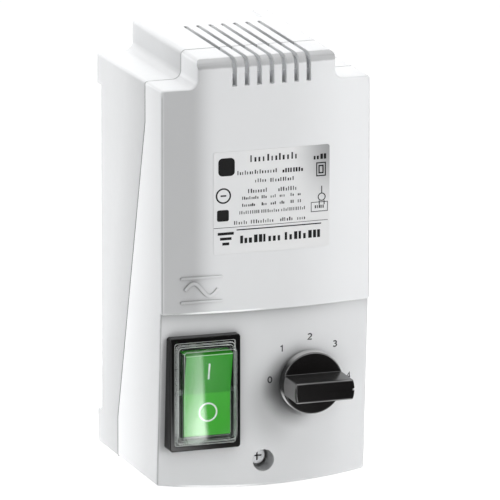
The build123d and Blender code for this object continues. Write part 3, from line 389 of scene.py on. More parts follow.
def enamelled(name):
    """Varnished copper wire laid in turns along Z, with painted shade in the grooves between turns."""
    wire_pitch = 0.0011
    mat = material_graph(name)
    z = mat.axes(mat.place)[2]
    wobble = mat.times(mat.noise(60), 0.0003)
    phase = mat.times(mat.add(z, wobble), 2 * math.pi / wire_pitch)
    ridge = mat.absolute(mat.math("SINE", mat.times(phase, 0.5)))
    tone = mat.mix(mat.span(mat.noise(200, detail=3), (0.3, 0.75)),
                   rgb(150, 70, 30), rgb(196, 104, 52))
    # painted shade in the grooves between turns
    tone = mat.mix(mat.span(ridge, (0.0, 0.35), to=(1, 0)), tone, rgb(58, 24, 12))
    relief = mat.bump(ridge, strength=0.8, distance=0.0005)
    return mat.principled(tone, 0.32, relief, {
        "Metallic": 0.85, "Coat Weight": 0.7, "Coat Roughness": 0.12,
        "Coat Tint": rgb(255, 214, 170)})


def tape(name, colour):
    """Polyester tape in overlapped turns."""
    turn_pitch = 0.0095
    mat = material_graph(name)
    z = mat.axes(mat.place)[2]
    wander = mat.times(mat.noise(30), 0.0008)
    turn = mat.math("FRACT", mat.times(mat.add(z, wander), 1 / turn_pitch))
    lip = mat.span(turn, (0.0, 0.05), to=(1, 0))
    wrinkle = mat.noise(1, detail=4, rough=0.6, place=mat.stretch(90, 90, 420))
    tone = mat.mix(mat.span(wrinkle, MIDDLE), scaled(colour, 0.85), scaled(colour, 1.12))
    tone = mat.mix(lip, tone, scaled(colour, 0.5))
    relief = mat.bump(mat.add(turn, mat.times(wrinkle, 0.35)), strength=0.6, distance=0.00025)
    return mat.principled(tone, 0.3, relief, {"Coat Weight": 0.5, "Coat Roughness": 0.2})


def foil(name):
    """Satin metallised film: fine brushing, and painted shade darkening the upper right corner."""
    mat = material_graph(name)
    x, _, z = mat.axes(mat.place)
    brushing = mat.noise(1.0, detail=3, rough=0.6, place=mat.stretch(300, 300, 3600))
    cloud = mat.noise(18)
    shade = mat.times(mat.span(x, (0.012, 0.034), smooth=True),
                      mat.span(z, (0.034, 0.070), smooth=True), 0.80)
    tone = mat.mix(mat.span(cloud, MIDDLE), rgb(233, 234, 235), rgb(240, 240, 240))
    tone = mat.mix(shade, tone, rgb(138, 139, 141))
    relief = mat.bump(brushing, strength=0.25, distance=0.00002, normal=mat.bevel(0.00015))
    return mat.principled(tone, mat.span(brushing, MIDDLE, to=(0.34, 0.44)), relief, {
        "Metallic": 0.08, "Coat Weight": 0.25, "Coat Roughness": 0.18})


def clear(name):
    """Clear soft boot with painted white highlights along its edges; shadows pass through it."""
    mat = material_graph(name)
    ripple = mat.noise(90)
    speck = mat.noise(1500)
    # the normal leans outwards from the boot's middle at x -0.0330, as on an arched sheet
    x = mat.axes(mat.place)[0]
    bow = mat.node("CombineXYZ", {0: mat.times(mat.add(x, 0.0330), 24.0)})
    arched = mat.vector("NORMALIZE", mat.vector("ADD", mat.bevel(0.0004), bow))
    relief = mat.bump(mat.add(ripple, mat.times(speck, 0.03)), strength=0.06, distance=0.0004,
                      normal=arched)
    edge = mat.edges(0.0006, samples=12)[1]
    # mirror strength grows at grazing angles, and varies up the boot
    incoming = mat.node("NewGeometry").outputs["Incoming"]
    facing = mat.absolute(mat.vector("DOT_PRODUCT", arched, incoming, output="Value"))
    grazing = mat.math("POWER", mat.minus(1.0, facing, clamp=True), 5.0)
    mirror = mat.add(0.037, mat.times(grazing, 0.55))
    z = mat.axes(mat.place)[2]
    by_height = mat.math("MINIMUM",
                         mat.span(z, (-0.0690, -0.0420), to=(1.75, 0.9), smooth=True),
                         mat.span(z, (-0.0745, -0.0715), to=(0.7, 1.75)))
    gloss = mat.node("BsdfGlossy", {
        "Color": WHITE, "Roughness": mat.span(speck, MIDDLE, to=(0.06, 0.08)), "Normal": relief})
    through = mat.node("BsdfTransparent", {"Color": (0.95, 0.975, 0.96, 1)})
    sheet = mat.mix_shader(mat.times(mirror, by_height), through, gloss)
    # painted highlight: a pale glowing layer laid along the edges by the mask below
    edge_highlight = mat.node("BsdfPrincipled", {"Base Color": rgb(236, 240, 237), "Roughness": 0.25,
                                       "Emission Color": WHITE, "Emission Strength": 0.34})
    edge_highlight_mask = mat.times(mat.span(edge, (0.30, 0.90), to=(0, 0.92)),
                     mat.span(mat.noise(50), (0.35, 0.65), to=(0.70, 1.0)))
    body = mat.mix_shader(edge_highlight_mask, sheet, edge_highlight)
    ray = mat.node("LightPath").outputs
    unseen = mat.math("MAXIMUM", ray["Is Shadow Ray"], ray["Is Diffuse Ray"])
    tint = mat.node("BsdfTransparent", {"Color": (0.93, 0.96, 0.94, 1)})
    return mat.close(mat.mix_shader(unseen, body, tint))


def lens_green(name):
    """Translucent green of the illuminated rocker, with painted light making it paler below its middle,
    painted highlights at its edges, and painted shade on its left and right sides.
    """
    mat = material_graph(name)
    slow = mat.noise(60)
    fine = mat.noise(2200)
    low = mat.span(mat.axes(mat.place)[2], (-0.0526, -0.0519), to=(1, 0))
    rounded, edge = mat.edges(0.0004)
    normal_x, normal_y, _ = mat.normal_axes()
    rounded_z = mat.axes(mat.bevel(0.0008, samples=8))[2]
    # painted light and shade: paler below the middle, darker above it
    tone = mat.mix(low, rgb(30, 138, 14), rgb(52, 166, 30))
    tone = mat.mix(mat.span(slow, MIDDLE, to=(0, 0.12)), tone, rgb(74, 186, 50))
    # painted highlight along the edges
    tone = mat.mix(mat.times(edge, 0.40), tone, rgb(190, 236, 180))
    # painted shade on the left and right sides
    flank_shade = mat.span(mat.absolute(normal_x), (0.6, 0.9), to=(0, 0.93))
    tone = mat.mix(flank_shade, tone, rgb(12, 30, 10))
    # painted highlight on the upper edges of the front faces
    crest_highlight = mat.times(mat.span(rounded_z, (0.28, 0.60)), mat.span(normal_y, (-0.5, -0.8)), 0.75)
    tone = mat.mix(crest_highlight, tone, rgb(222, 246, 216))
    relief = mat.bump(fine, strength=0.12, distance=0.00002, normal=rounded)
    return mat.principled(tone, mat.span(slow, MIDDLE, to=(0.2, 0.26)), relief, {
        "Coat Weight": 0.12, "Coat Roughness": 0.12, "Subsurface Weight": 0.15,
        "Subsurface Radius": (0.0004, 0.002, 0.0003), "Subsurface Scale": 1.0,
        "Emission Color": tone, "Emission Strength": 0.16})


def lamp_glass(name):
    """Warm glowing glass."""
    mat = material_graph(name)
    cloud = mat.noise(300)
    relief = mat.bump(cloud, strength=0.1, distance=0.0002)
    return mat.principled(rgb(250, 225, 205), mat.span(cloud, MIDDLE, to=(0.02, 0.08)), relief, {
        "IOR": 1.47, "Transmission Weight": 0.9, "Emission Color": rgb(255, 150, 80),
        "Emission Strength": mat.span(cloud, MIDDLE, to=(0.2, 0.5))})


def banded_resistor(name):
    """Tan resistor body with four colour bands along X."""
    left_end, length = -0.0375, 0.009
    bands = ((0.2, rgb(150, 30, 26)), (0.38, rgb(236, 128, 30)),
             (0.56, rgb(226, 196, 40)), (0.8, rgb(190, 150, 60)))
    mat = material_graph(name)
    along = mat.times(mat.add(mat.axes(mat.place)[0], -left_end), 1 / length)
    tone = mat.mix(mat.span(mat.noise(600), MIDDLE), rgb(196, 168, 120), rgb(214, 188, 142))
    for centre, colour in bands:
        away = mat.absolute(mat.minus(along, centre))
        tone = mat.mix(mat.span(away, (0.045, 0.055), to=(1, 0)), tone, colour)
    relief = mat.bump(mat.noise(900), strength=0.2, distance=0.00005)
    return mat.principled(tone, 0.3, relief, {"Coat Weight": 0.5})


def ink(name, colour, rough=0.5):
    mat = material_graph(name)
    patch = mat.noise(900, detail=3, rough=0.6)
    fine = mat.noise(4200)
    tone = mat.mix(mat.span(patch, (0.35, 0.7)), colour, scaled(colour, 1.35))
    roughness = mat.span(fine, MIDDLE, to=(rough - 0.08, rough + 0.08))
    relief = mat.bump(fine, strength=0.3, distance=0.00001)
    return mat.principled(tone, roughness, relief, {"Specular IOR Level": 0.35})


def knob_highlights(mat, y, normal):
    """Painted highlights on the knob, by emission: its rounded rims, wall crests and the left cheek of
    the grip.
    """
    normal_x, normal_y, normal_z = normal
    steep = mat.absolute(normal_z)
    rim = mat.times(mat.span(steep, (0.30, 0.55), smooth=True),
                    mat.span(steep, (0.80, 0.96), to=(1, 0), smooth=True),
                    mat.span(normal_y, (-0.20, -0.45), smooth=True))
    streak = mat.span(mat.noise(38), (0.35, 0.65), to=(0.35, 1.0))
    rim = mat.times(rim, streak, mat.span(normal_z, (-0.2, 0.2), to=(0.42, 0.22)))
    wall = mat.times(mat.span(mat.absolute(normal_y), (0.20, 0.38), to=(1, 0), smooth=True),
                     mat.span(y, (-0.1068, -0.1062)))
    down_left = mat.times(mat.add(normal_x, normal_z), -0.7071)
    crest_highlight = mat.math("MAXIMUM",
                     mat.span(normal_z, (0.55, 0.97), to=(0, 0.30), smooth=True),
                     mat.span(down_left, (0.80, 0.98), to=(0, 0.50), smooth=True))
    cheek = mat.times(mat.span(normal_x, (-0.75, -0.95), to=(0, 0.085), smooth=True),
                      mat.span(y, (-0.1068, -0.1075)))
    return mat.add(mat.add(rim, mat.times(wall, crest_highlight)), cheek)


def knob_black(name):
    """Black satin thermoset; on top of the grip the mirror strengthens to the right."""
    mat = material_graph(name)
    slow = mat.noise(60)
    fine = mat.noise(2000)
    x, y, _ = mat.axes(mat.place)
    normal = mat.normal_axes()
    # painted highlights, by emission
    glow = knob_highlights(mat, y, normal)
    by_reach = mat.span(x, (0.0290, 0.0392), to=(0.10, 1.0), smooth=True)
    grip_top = mat.times(mat.span(normal[2], (0.6, 0.9)), mat.span(y, (-0.1068, -0.1072)))
    specular = mat.node("Mix", {0: grip_top, 2: 0.42, 3: by_reach}, data_type="FLOAT")
    tone = mat.mix(mat.span(slow, MIDDLE), rgb(20, 19, 19), rgb(25, 24, 24))
    relief = mat.bump(fine, strength=0.03, distance=0.00002)
    return mat.principled(tone, mat.span(slow, MIDDLE, to=(0.18, 0.23)), relief, {
        "Specular IOR Level": specular, "Sheen Weight": 0.10, "Sheen Roughness": 0.3,
        "Emission Color": WHITE, "Emission Strength": glow})


def baffle(name):
    """Pale inner baffle behind the vent slots, with painted shade on its upright faces, stronger lower
    down; its painted glow keeps the slots from going black.
    """
    mat = material_graph(name)
    patch = mat.noise(300, detail=3, rough=0.6)
    normal_z = mat.normal_axes()[2]
    _, y, z = mat.axes(mat.place)
    tone = mat.mix(mat.span(patch, MIDDLE), rgb(196, 198, 200), rgb(206, 208, 210))
    upright = mat.span(mat.absolute(normal_z), (0.5, 0.9), to=(1, 0))
    # painted shade on the upright faces, stronger lower down
    deep_shade = mat.times(mat.span(z, (0.1030, 0.1075), to=(0.34, 0), smooth=True), upright)
    tone = mat.mix(deep_shade, tone, rgb(70, 71, 72))
    # painted glow, stronger on upright faces, and more on flat faces towards the rear
    glow = mat.times(mat.span(mat.absolute(normal_z), (0.5, 0.9), to=(0.24, 0.10)),
                     mat.minus(1.0, deep_shade))
    rear = mat.times(mat.span(y, (-0.050, -0.030), to=(0, 0.25), smooth=True),
                     mat.minus(1.0, upright))
    relief = mat.bump(mat.noise(1500, detail=3), strength=0.3, distance=0.00005)
    return mat.principled(tone, 0.5, relief, {
        "Emission Color": tone, "Emission Strength": mat.add(glow, rear)})


def zinc_head(name):
    """Bright zinc-plated screw with turned rings on its head, painted shade darkening its recess and a
    painted glow on the rest of the head.
    """
    ring_pitch = 0.00042
    mat = material_graph(name)
    centred = mat.vector("ADD", mat.place, (-SCREW_X, 0.0, -SCREW_Z))
    flat = mat.vector("MULTIPLY", centred, (1, 0, 1))
    radius = mat.vector("LENGTH", flat, output="Value")
    rings = mat.math("SINE", mat.times(radius, 2 * math.pi / ring_pitch))
    depth = mat.span(mat.axes(mat.place)[1], (-0.0890, -0.0882))
    tone = mat.mix(mat.span(mat.noise(420, detail=3, rough=0.6), MIDDLE),
                   rgb(226, 228, 229), rgb(204, 206, 208))
    # painted shade in the recess
    tone = mat.mix(depth, tone, rgb(30, 30, 31))
    # painted glow on the head outside the recess
    glow = mat.mix(depth, (0.32, 0.32, 0.32, 1), (0, 0, 0, 1))
    return mat.principled(tone, 0.36, mat.bump(rings, strength=0.35, distance=0.00003), {
        "Metallic": 0.35, "Emission Color": tone, "Emission Strength": glow})


DARK_GRAIN = dict(grain=1800, relief=0.00005, strength=0.4, wear=0.5, mottle=0.08)
LEAD = dict(rough=0.35, grain=1200, relief=0.00004, strength=0.3, wear=0.1, mottle=0.06)

# material name: (family, its settings)
RECIPES = {
    "housing_plastic": (shell_plastic, dict(colour=rgb(222, 223, 224))),
    "seal_rubber": (rubber, dict(colour=rgb(46, 46, 48), rough=0.65)),
    "steel": (metal, dict(colour=rgb(212, 214, 216), rough=0.30)),
    "brass": (metal, dict(colour=rgb(206, 168, 92), rough=0.28, tarnish=0.4, dark=0.55)),
    "tinned": (metal, dict(colour=rgb(205, 206, 204), rough=0.34, tarnish=0.3, dark=0.75)),
    "label_foil": (foil, {}),
    "baffle_plastic": (baffle, {}),
    "laminations": (laminated, {}),
    "bobbin_plastic": (plastic, dict(colour=rgb(34, 36, 38), rough=0.42, **DARK_GRAIN)),
    "copper": (enamelled, {}),
    "wrap": (tape, dict(colour=rgb(206, 170, 60))),
    "cutout_body": (plastic, dict(colour=rgb(60, 44, 34), rough=0.3, grain=1200, relief=0.00005,
                                  strength=0.3, wear=0.4, mottle=0.08, coat=0.4)),
    # the bezel's line is a painted highlight along its edges
    "black_gloss": (plastic, dict(colour=rgb(15, 14, 14), rough=0.12, grain=2400, relief=0.00001,
                                  strength=0.02, edge_radius=0.0002, wear=0.0, mottle=0.03,
                                  rough_var=0.015, specular=0.30, line=0.26)),
    "black_plastic": (plastic, dict(colour=rgb(30, 30, 31), rough=0.4, **DARK_GRAIN)),
    "deck_plastic": (plastic, dict(colour=rgb(92, 46, 28), rough=0.36, grain=900, relief=0.00006,
                                   strength=0.35, wear=0.35, mottle=0.12, coat=0.2)),
    "rotor_plastic": (plastic, dict(colour=rgb(226, 220, 204), rough=0.38, grain=1600,
                                    relief=0.00004, strength=0.3, wear=0.2, mottle=0.03,
                                    subsurface=0.1)),
    "clear_boot": (clear, {}),
    "rocker_green": (lens_green, {}),
    "lamp_glass": (lamp_glass, {}),
    "resistor_body": (banded_resistor, {}),
    "knob_black": (knob_black, {}),
    "block_plastic": (plastic, dict(colour=rgb(224, 222, 212), rough=0.4, grain=1500,
                                    relief=0.00005, strength=0.3, wear=0.15, subsurface=0.05)),
    "gland_plastic": (plastic, dict(colour=rgb(196, 198, 199), rough=0.36, grain=1800,
                                    relief=0.00004, strength=0.25, wear=0.2)),
    "lead_black": (plastic, dict(colour=rgb(28, 28, 30), **LEAD)),
    "lead_brown": (plastic, dict(colour=rgb(96, 56, 34), **LEAD)),
}
MATERIALS = {name: family(name, **settings) for name, (family, settings) in RECIPES.items()}
SCREW_ZINC = zinc_head("zinc_head")


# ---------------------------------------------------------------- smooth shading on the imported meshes
def tidy_tree():
    """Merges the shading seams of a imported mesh, then shades it smooth apart from true edges."""
    tree = bpy.data.node_groups.new("tidy", "GeometryNodeTree")
    for direction in ("INPUT", "OUTPUT"):
        tree.interface.new_socket("Geometry", in_out=direction, socket_type="NodeSocketGeometry")
    new, link = tree.nodes.new, tree.links.new
    source, result = new("NodeGroupInput"), new("NodeGroupOutput")
    merge = new("GeometryNodeMergeByDistance")
    merge.inputs["Distance"].default_value = 1e-7
    smooth = new("GeometryNodeSetShadeSmooth")
    smooth.domain = "FACE"
    sharp = new("GeometryNodeSetShadeSmooth")
    sharp.domain = "EDGE"
    sharp.inputs["Shade Smooth"].default_value = False
    angle = new("GeometryNodeInputMeshEdgeAngle")
    steep = new("FunctionNodeCompare")
    steep.data_type = "FLOAT"
    steep.operation = "GREATER_THAN"
    steep.inputs[1].default_value = math.radians(28)
    link(source.outputs[0], merge.inputs["Geometry"])
    link(merge.outputs[0], smooth.inputs["Geometry"])
    link(smooth.outputs[0], sharp.inputs["Geometry"])
    link(angle.outputs["Unsigned Angle"], steep.inputs[0])
    link(steep.outputs[0], sharp.inputs["Selection"])
    link(sharp.outputs[0], result.inputs[0])
    return tree


TIDY = tidy_tree()
for node_name, part in NODES.items():
    slot_names = [m.name.split(".")[0] for m in part.data.materials if m]
    for i, slot_name in enumerate(slot_names):
        if slot_name in MATERIALS:
            part.material_slots[i].link = "DATA"
            part.material_slots[i].material = MATERIALS[slot_name]
    if node_name == "cover_screw":
        part.material_slots[0].material = SCREW_ZINC
    part.modifiers.new("tidy", "NODES").node_group = TIDY
    weighted = part.modifiers.new("weighted", "WEIGHTED_NORMAL")
    weighted.mode = "FACE_AREA"
    weighted.keep_sharp = True


# ---------------------------------------------------------------- printed and inlaid marks
class Flat:
    """Flat shapes in x and z, turned into thin closed slabs that follow a surface."""

    def __init__(self):
        self.points, self.faces = [], []

    def add(self, points, faces):
        start = len(self.points)
        self.points += points
        self.faces += [tuple(i + start for i in face) for face in faces]

    def grid(self, x0, z0, x1, z1):
        """A rectangle cut along x into pieces of at most 2 mm, to follow a curve."""
        count = max(1, math.ceil(abs(x1 - x0) / 0.002))
        points = []
        for i in range(count + 1):
            x = x0 + (x1 - x0) * i / count
            points += [(x, z0), (x, z1)]
        self.add(points, [(i, i + 2, i + 3, i + 1) for i in range(0, 2 * count, 2)])

    def rounded(self, x, z, width, height, radius):
        """A rectangle with rounded corners, as a fan round its centre."""
        steps = 5
        points = []
        for side_x, side_z, start in ((1, 1, 0), (-1, 1, 90), (-1, -1, 180), (1, -1, 270)):
            for i in range(steps + 1):
                angle = math.radians(start + 90 * i / steps)
                points.append((x + side_x * (width / 2 - radius) + radius * math.cos(angle),
                               z + side_z * (height / 2 - radius) + radius * math.sin(angle)))
        count = len(points)
        self.add(points + [(x, z)], [(i, (i + 1) % count, count) for i in range(count)])

    def ring(self, x, z, outer, inner, segments=56):
        points, faces = [], []
        for i in range(segments):
            angle = math.radians(360 * i / segments)
            points += [(x + radius * math.cos(angle), z + radius * math.sin(angle))
                       for radius in (outer, inner)]
            here, after = 2 * i, 2 * ((i + 1) % segments)
            faces.append((here, after, after + 1, here + 1))
        self.add(points, faces)

    def frame(self, x0, z0, x1, z1, width):
        inset = (x0 + width, z0 + width, x1 - width, z1 - width)
        points = []
        for left, low, right, high in ((x0, z0, x1, z1), inset):
            points += [(left, low), (right, low), (right, high), (left, high)]
        self.add(points, [(0, 1, 5, 4), (1, 2, 6, 5), (2, 3, 7, 6), (3, 0, 4, 7)])

    def line(self, x0, z0, x1, z1, width):
        length = math.hypot(x1 - x0, z1 - z0)
        off_x = -(z1 - z0) / length * width / 2
        off_z = (x1 - x0) / length * width / 2
        self.add([(x0 - off_x, z0 - off_z), (x1 - off_x, z1 - off_z),
                  (x1 + off_x, z1 + off_z), (x0 + off_x, z0 + off_z)], [(0, 1, 2, 3)])

    def stroke(self, path, x, z, closed=False):
        """A band of even width along a path given in millimetres round (x, z)."""
        width = 0.00062
        path = [Vector((x + across / 1000, z + up / 1000)) for across, up in path]
        count = len(path)
        points = []
        for i, point in enumerate(path):
            before = after = None
            if closed or i:
                before = (point - path[i - 1]).normalized()
            if closed or i < count - 1:
                after = (path[(i + 1) % count] - point).normalized()
            before = before or after
            after = after or before
            square = Vector((-before.y, before.x))
            mitre = (square + Vector((-after.y, after.x))).normalized()
            reach = min(1.7, 1.0 / max(0.2, mitre.dot(square)))
            offset = mitre * width / 2 * reach
            points += [tuple(point + offset), tuple(point - offset)]
        faces = []
        for i in range(count if closed else count - 1):
            here, after = 2 * i, 2 * ((i + 1) % count)
            faces.append((here, here + 1, after + 1, after))
        self.add(points, faces)

    def turned(self, face):
        """The face, reversed if its signed area in x and z is negative."""
        area = 0
        for i, corner in enumerate(face):
            (x0, z0), (x1, z1) = self.points[corner], self.points[face[(i + 1) % len(face)]]
            area += x0 * z1 - x1 * z0
        return face[::-1] if area < 0 else face

    def build(self, name, node, body, material, proud=0.00003, sink=0.00004):
        """Lays the slab on a part's front, from sink below its surface to proud of it."""
        mesh = NODES[node].data
        surface = BVHTree.FromPolygons([v.co for v in mesh.vertices],
                                       [p.vertices[:] for p in mesh.polygons])
        slab = bmesh.new()
        front, back = [], []
        for x, z in self.points:
            y = surface.ray_cast(Vector((x, -0.2, z)), Vector((0, 1, 0)))[0].y
            front.append(slab.verts.new((x, y - proud, z)))
            back.append(slab.verts.new((x, y + sink, z)))
        uses = {}
        for face in map(self.turned, self.faces):
            slab.faces.new([front[i] for i in face])
            slab.faces.new([back[i] for i in face[::-1]])
            for edge in zip(face, face[1:] + face[:1]):
                uses.setdefault(frozenset(edge), []).append(edge)
        # walls along the edges that only one face uses
        for edges in uses.values():
            if len(edges) == 1:
                start, end = edges[0]
                slab.faces.new((front[end], front[start], back[start], back[end]))
        bmesh.ops.recalc_face_normals(slab, faces=slab.faces)
        mesh = bpy.data.meshes.new(name)
        slab.to_mesh(mesh)
        slab.free()
        made = bpy.data.objects.new(name, mesh)
        bpy.context.scene.collection.objects.link(made)
        mesh.materials.append(material)
        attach(made, body)


INK_DARK = ink("ink_dark", rgb(34, 34, 36))
INK_BLACK = ink("ink_black", rgb(16, 16, 17))
ink("ink_mid", rgb(92, 94, 97))     # a spare grey, on no object
INK_WHITE = ink("ink_white", rgb(236, 238, 236), rough=0.4)
INK_DIAL = ink("ink_dial", rgb(40, 41, 43))

# rating label: plain blocks, lines and simple figures in place of any wording
LABEL_LEFT, LABEL_RIGHT = -0.0282, 0.0330
LABEL_LOW, LABEL_TOP = 0.1193 - ORIGIN_Z, 0.1715 - ORIGIN_Z
LABEL_HEIGHT = LABEL_TOP - LABEL_LOW


def on_label(across, down):
    """x and z from fractions of the label's width and height, from its upper left corner."""
    return LABEL_LEFT + across * (LABEL_RIGHT - LABEL_LEFT), LABEL_TOP - down * LABEL_HEIGHT


def draws(seed):
    """A fixed sequence of numbers in 0..1."""
    state = seed * 7919 + 17
    while True:
        state = (state * 1103515245 + 12345) % 2147483648
        yield state / 2147483648


def word(target, start, end, down, height, weight, seed, pitch=0.62):
    """Small upright blocks on the label.

    start, end, down and height are fractions of the label; pitch is a part of the height and
    weight, the block width, a part of the pitch.
    """
    draw = draws(seed)
    x, z = on_label(start, down)
    x_end = on_label(end, down)[0]
    tall = height * LABEL_HEIGHT
    step = tall * pitch
    base = z - tall / 2
    while x + step * weight <= x_end:
        block_height = tall * (1.0 if next(draw) > 0.45 else 0.68)
        width = step * weight * (0.8 + 0.5 * next(draw))
        target.grid(x, base, min(x + width, x_end), base + block_height)
        x += step * (0.92 + 0.25 * next(draw))


bold, thin = Flat(), Flat()

# print, start, end, down, height, weight, seed, and a pitch where it is not the usual one
for row in (
    (thin, 0.315, 0.735, 0.082, 0.066, 0.42, 3, 0.60),
    (bold, 0.862, 0.978, 0.115, 0.052, 0.66, 5),
    (thin, 0.205, 0.548, 0.214, 0.040, 0.42, 7),
    (bold, 0.592, 0.770, 0.222, 0.042, 0.60, 8),
    (thin, 0.357, 0.455, 0.300, 0.036, 0.40, 9),
    (thin, 0.487, 0.700, 0.305, 0.038, 0.44, 10),
    (thin, 0.296, 0.470, 0.398, 0.040, 0.42, 11),
    (thin, 0.556, 0.712, 0.402, 0.040, 0.42, 12),
):
    word(*row)

# six columns of a bold word over a thin one; the first thin word is shorter
COLUMNS = ((0.245, 0.392), (0.412, 0.466), (0.490, 0.541),
           (0.568, 0.620), (0.662, 0.696), (0.724, 0.760))
for i, (start, end) in enumerate(COLUMNS):
    word(bold, start, end, down=0.464, height=0.030, weight=0.52, seed=20 + i)
    thin_end = end - (0.03 if i == 0 else 0)
    word(thin, start, thin_end, down=0.533, height=0.030, weight=0.58, seed=30 + i)

# two lines of thin words: start, end, down, height, weight, seed
for row in (
    (0.222, 0.392, 0.605, 0.032, 0.40, 41), (0.410, 0.565, 0.605, 0.032, 0.40, 42),
    (0.582, 0.790, 0.605, 0.032, 0.40, 43), (0.176, 0.300, 0.700, 0.036, 0.40, 44),
    (0.320, 0.525, 0.700, 0.036, 0.40, 45), (0.572, 0.690, 0.700, 0.036, 0.46, 46),
    (0.720, 0.802, 0.700, 0.036, 0.40, 47),
):
    word(thin, *row)

# two rules across, then the large words at the foot
thin.grid(*on_label(0.002, 0.7385), *on_label(0.985, 0.7435))
bold.grid(*on_label(0.198, 0.776), *on_label(0.928, 0.765))
for start, end, seed in ((0.228, 0.590, 51), (0.612, 0.935, 52)):
    word(bold, start, end, down=0.868, height=0.076, weight=0.60, seed=seed, pitch=0.60)

# left column: a block, a ring round a bar, a block, three bars of falling width
bold.rounded(*on_label(0.112, 0.148), width=0.0086, height=0.0092, radius=0.0022)
x, z = on_label(0.085, 0.428)
bold.ring(x, z, outer=0.0040, inner=0.0032)
bold.rounded(x, z, width=0.0030, height=0.0008, radius=0.0002)
bold.rounded(*on_label(0.081, 0.622), width=0.0062, height=0.0058, radius=0.0010)
for i in range(3):
    x, z = on_label(0.105, 0.800 + 0.050 * i)
    half = 0.0042 - 0.0012 * i
    bold.grid(x - half, z - 0.0007, x + half, z + 0.0007)

# right column: nested frames, a ring on two legs with a stem, a framed field with a word
x, z = on_label(0.926, 0.240)
for half_width, half_height, width in ((0.0026, 0.0036, 0.0006), (0.0014, 0.0022, 0.0007)):
    bold.frame(x - half_width, z - half_height, x + half_width, z + half_height, width)
x, z = on_label(0.932, 0.512)
bold.ring(x, z, outer=0.0021, inner=0.0016)
for leg_x in (x - 0.0013, x + 0.0013):
    bold.line(leg_x, z - 0.0019, leg_x, z - 0.0040, width=0.0005)
bold.line(x, z + 0.0020, x, z + 0.0056, width=0.0005)
thin.frame(*on_label(0.838, 0.655), *on_label(0.985, 0.558), width=0.00035)
word(bold, 0.872, 0.955, down=0.606, height=0.030, weight=0.55, seed=61)
bold.build("label_print_bold", "rating_label", "housing", INK_BLACK)
thin.build("label_print_fine", "rating_label", "housing", INK_DARK)

# on and off marks, inlaid in the rocker
mark_on, mark_off = Flat(), Flat()
mark_on.rounded(-0.0328, 0.0615 - ORIGIN_Z, width=0.00092, height=0.0086, radius=0.00030)
mark_off.ring(-0.0325, 0.0399 - ORIGIN_Z, outer=0.00495, inner=0.0041, segments=72)
for name, mark in (("rocker_mark_on", mark_on), ("rocker_mark_off", mark_off)):
    mark.build(name, "rocker", "rocker_unit", INK_WHITE, proud=0.00006, sink=0.0001)


def arc(x, z, radius_x, radius_z, start, end, steps=14):
    """Points on an ellipse between two angles in degrees."""
    angles = [math.radians(start + (end - start) * i / steps) for i in range(steps + 1)]
    return [(x + radius_x * math.cos(a), z + radius_z * math.sin(a)) for a in angles]


# dial numbers on the lower front: stroke in millimetres round the centre, then the centre
DIGITS = {
    "0": (arc(0, 0, 0.98, 1.48, 0, 345, steps=23), 0.0026, 0.0519),
    "1": ([(-0.72, 0.92), (0.16, 1.46), (0.16, -1.60)], 0.0089, 0.0676),
    "2": (arc(-0.02, 0.70, 0.94, 0.80, 158, -38) + [(-0.98, -1.38), (1.04, -1.38)],
          0.0237, 0.0725),
    "3": (arc(-0.08, 0.76, 0.84, 0.70, 150, -78) + arc(-0.08, -0.68, 0.94, 0.78, 78, -150),
          0.0373, 0.0676),
    "4": ([(0.86, -0.74), (-1.02, -0.74), (0.38, 1.44), (0.38, -1.60)], 0.0451, 0.0503),
}
for digit, (path, x, height) in DIGITS.items():
    number = Flat()
    number.stroke(path, x, height - ORIGIN_Z, closed=digit == "0")
    number.build("dial_number_" + digit, "front_cover", "housing", INK_DIAL)


# ---------------------------------------------------------------- floor
scene = bpy.context.scene
scene.view_settings.view_transform = "Standard"
scene.view_settings.look = "None"


def floor_material():
    """Near white to the camera, a set of soft cards in reflections, clear from below."""
    mat = material_graph("pale_floor")
    tone = mat.mix(mat.span(mat.noise(6, detail=3), MIDDLE),
                   (0.86, 0.86, 0.86, 1), (0.89, 0.89, 0.89, 1))
    plain = mat.node("BsdfDiffuse", {"Color": tone, "Roughness": 0.3})
    glow = mat.node("Emission", {"Color": WHITE, "Strength": 0.97})
    dim = mat.node("BsdfDiffuse", {"Color": (0.16, 0.16, 0.16, 1), "Roughness": 0.3})
    seen = mat.node("AddShader", {0: glow, 1: dim})
    # reflections see a bright patch under the object and a brighter card in front of it
    position = mat.node("NewGeometry").outputs["Position"]
    x, y, _ = mat.axes(position)
    away = mat.vector("DISTANCE", position, (0.0, -0.05, -0.12), output="Value")
    near = mat.span(away, (0.14, 0.26), to=(0.85, 0.07), smooth=True)
    card_x = mat.times(mat.span(x, (-0.130, -0.012), to=(0.30, 1), smooth=True),
                       mat.span(x, (-0.012, 0.024), to=(1, 0), smooth=True))
    card_y = mat.times(mat.span(y, (-0.60, -0.27), to=(0.18, 1), smooth=True),
                       mat.span(y, (-0.24, -0.18), to=(1, 0), smooth=True))
    strength = mat.add(near, mat.times(mat.times(card_x, card_y), 6.0))
    mirrored = mat.node("Emission", {"Color": WHITE, "Strength": strength})
    ray = mat.node("LightPath").outputs
    lit = mat.mix_shader(ray["Is Glossy Ray"], plain, mirrored)
    top = mat.mix_shader(ray["Is Camera Ray"], lit, seen)
    through = mat.node("BsdfTransparent", {"Color": WHITE})
    below = mat.node("NewGeometry").outputs["Backfacing"]
    return mat.close(mat.mix_shader(below, top, through))


FLOOR_HALF = 8.0
FLOOR_GAP = 0.0002      # from the lowest point down to the floor
floor_mesh = bpy.data.meshes.new("floor")
floor_mesh.from_pydata([(x * FLOOR_HALF, y * FLOOR_HALF, 0)
                        for x, y in ((-1, -1), (1, -1), (1, 1), (-1, 1))], [], [(0, 1, 2, 3)])
floor = bpy.data.objects.new("floor", floor_mesh)
scene.collection.objects.link(floor)
floor.location = (0, 0, CAD_LO.z - FLOOR_GAP)
floor_mesh.materials.append(floor_material())


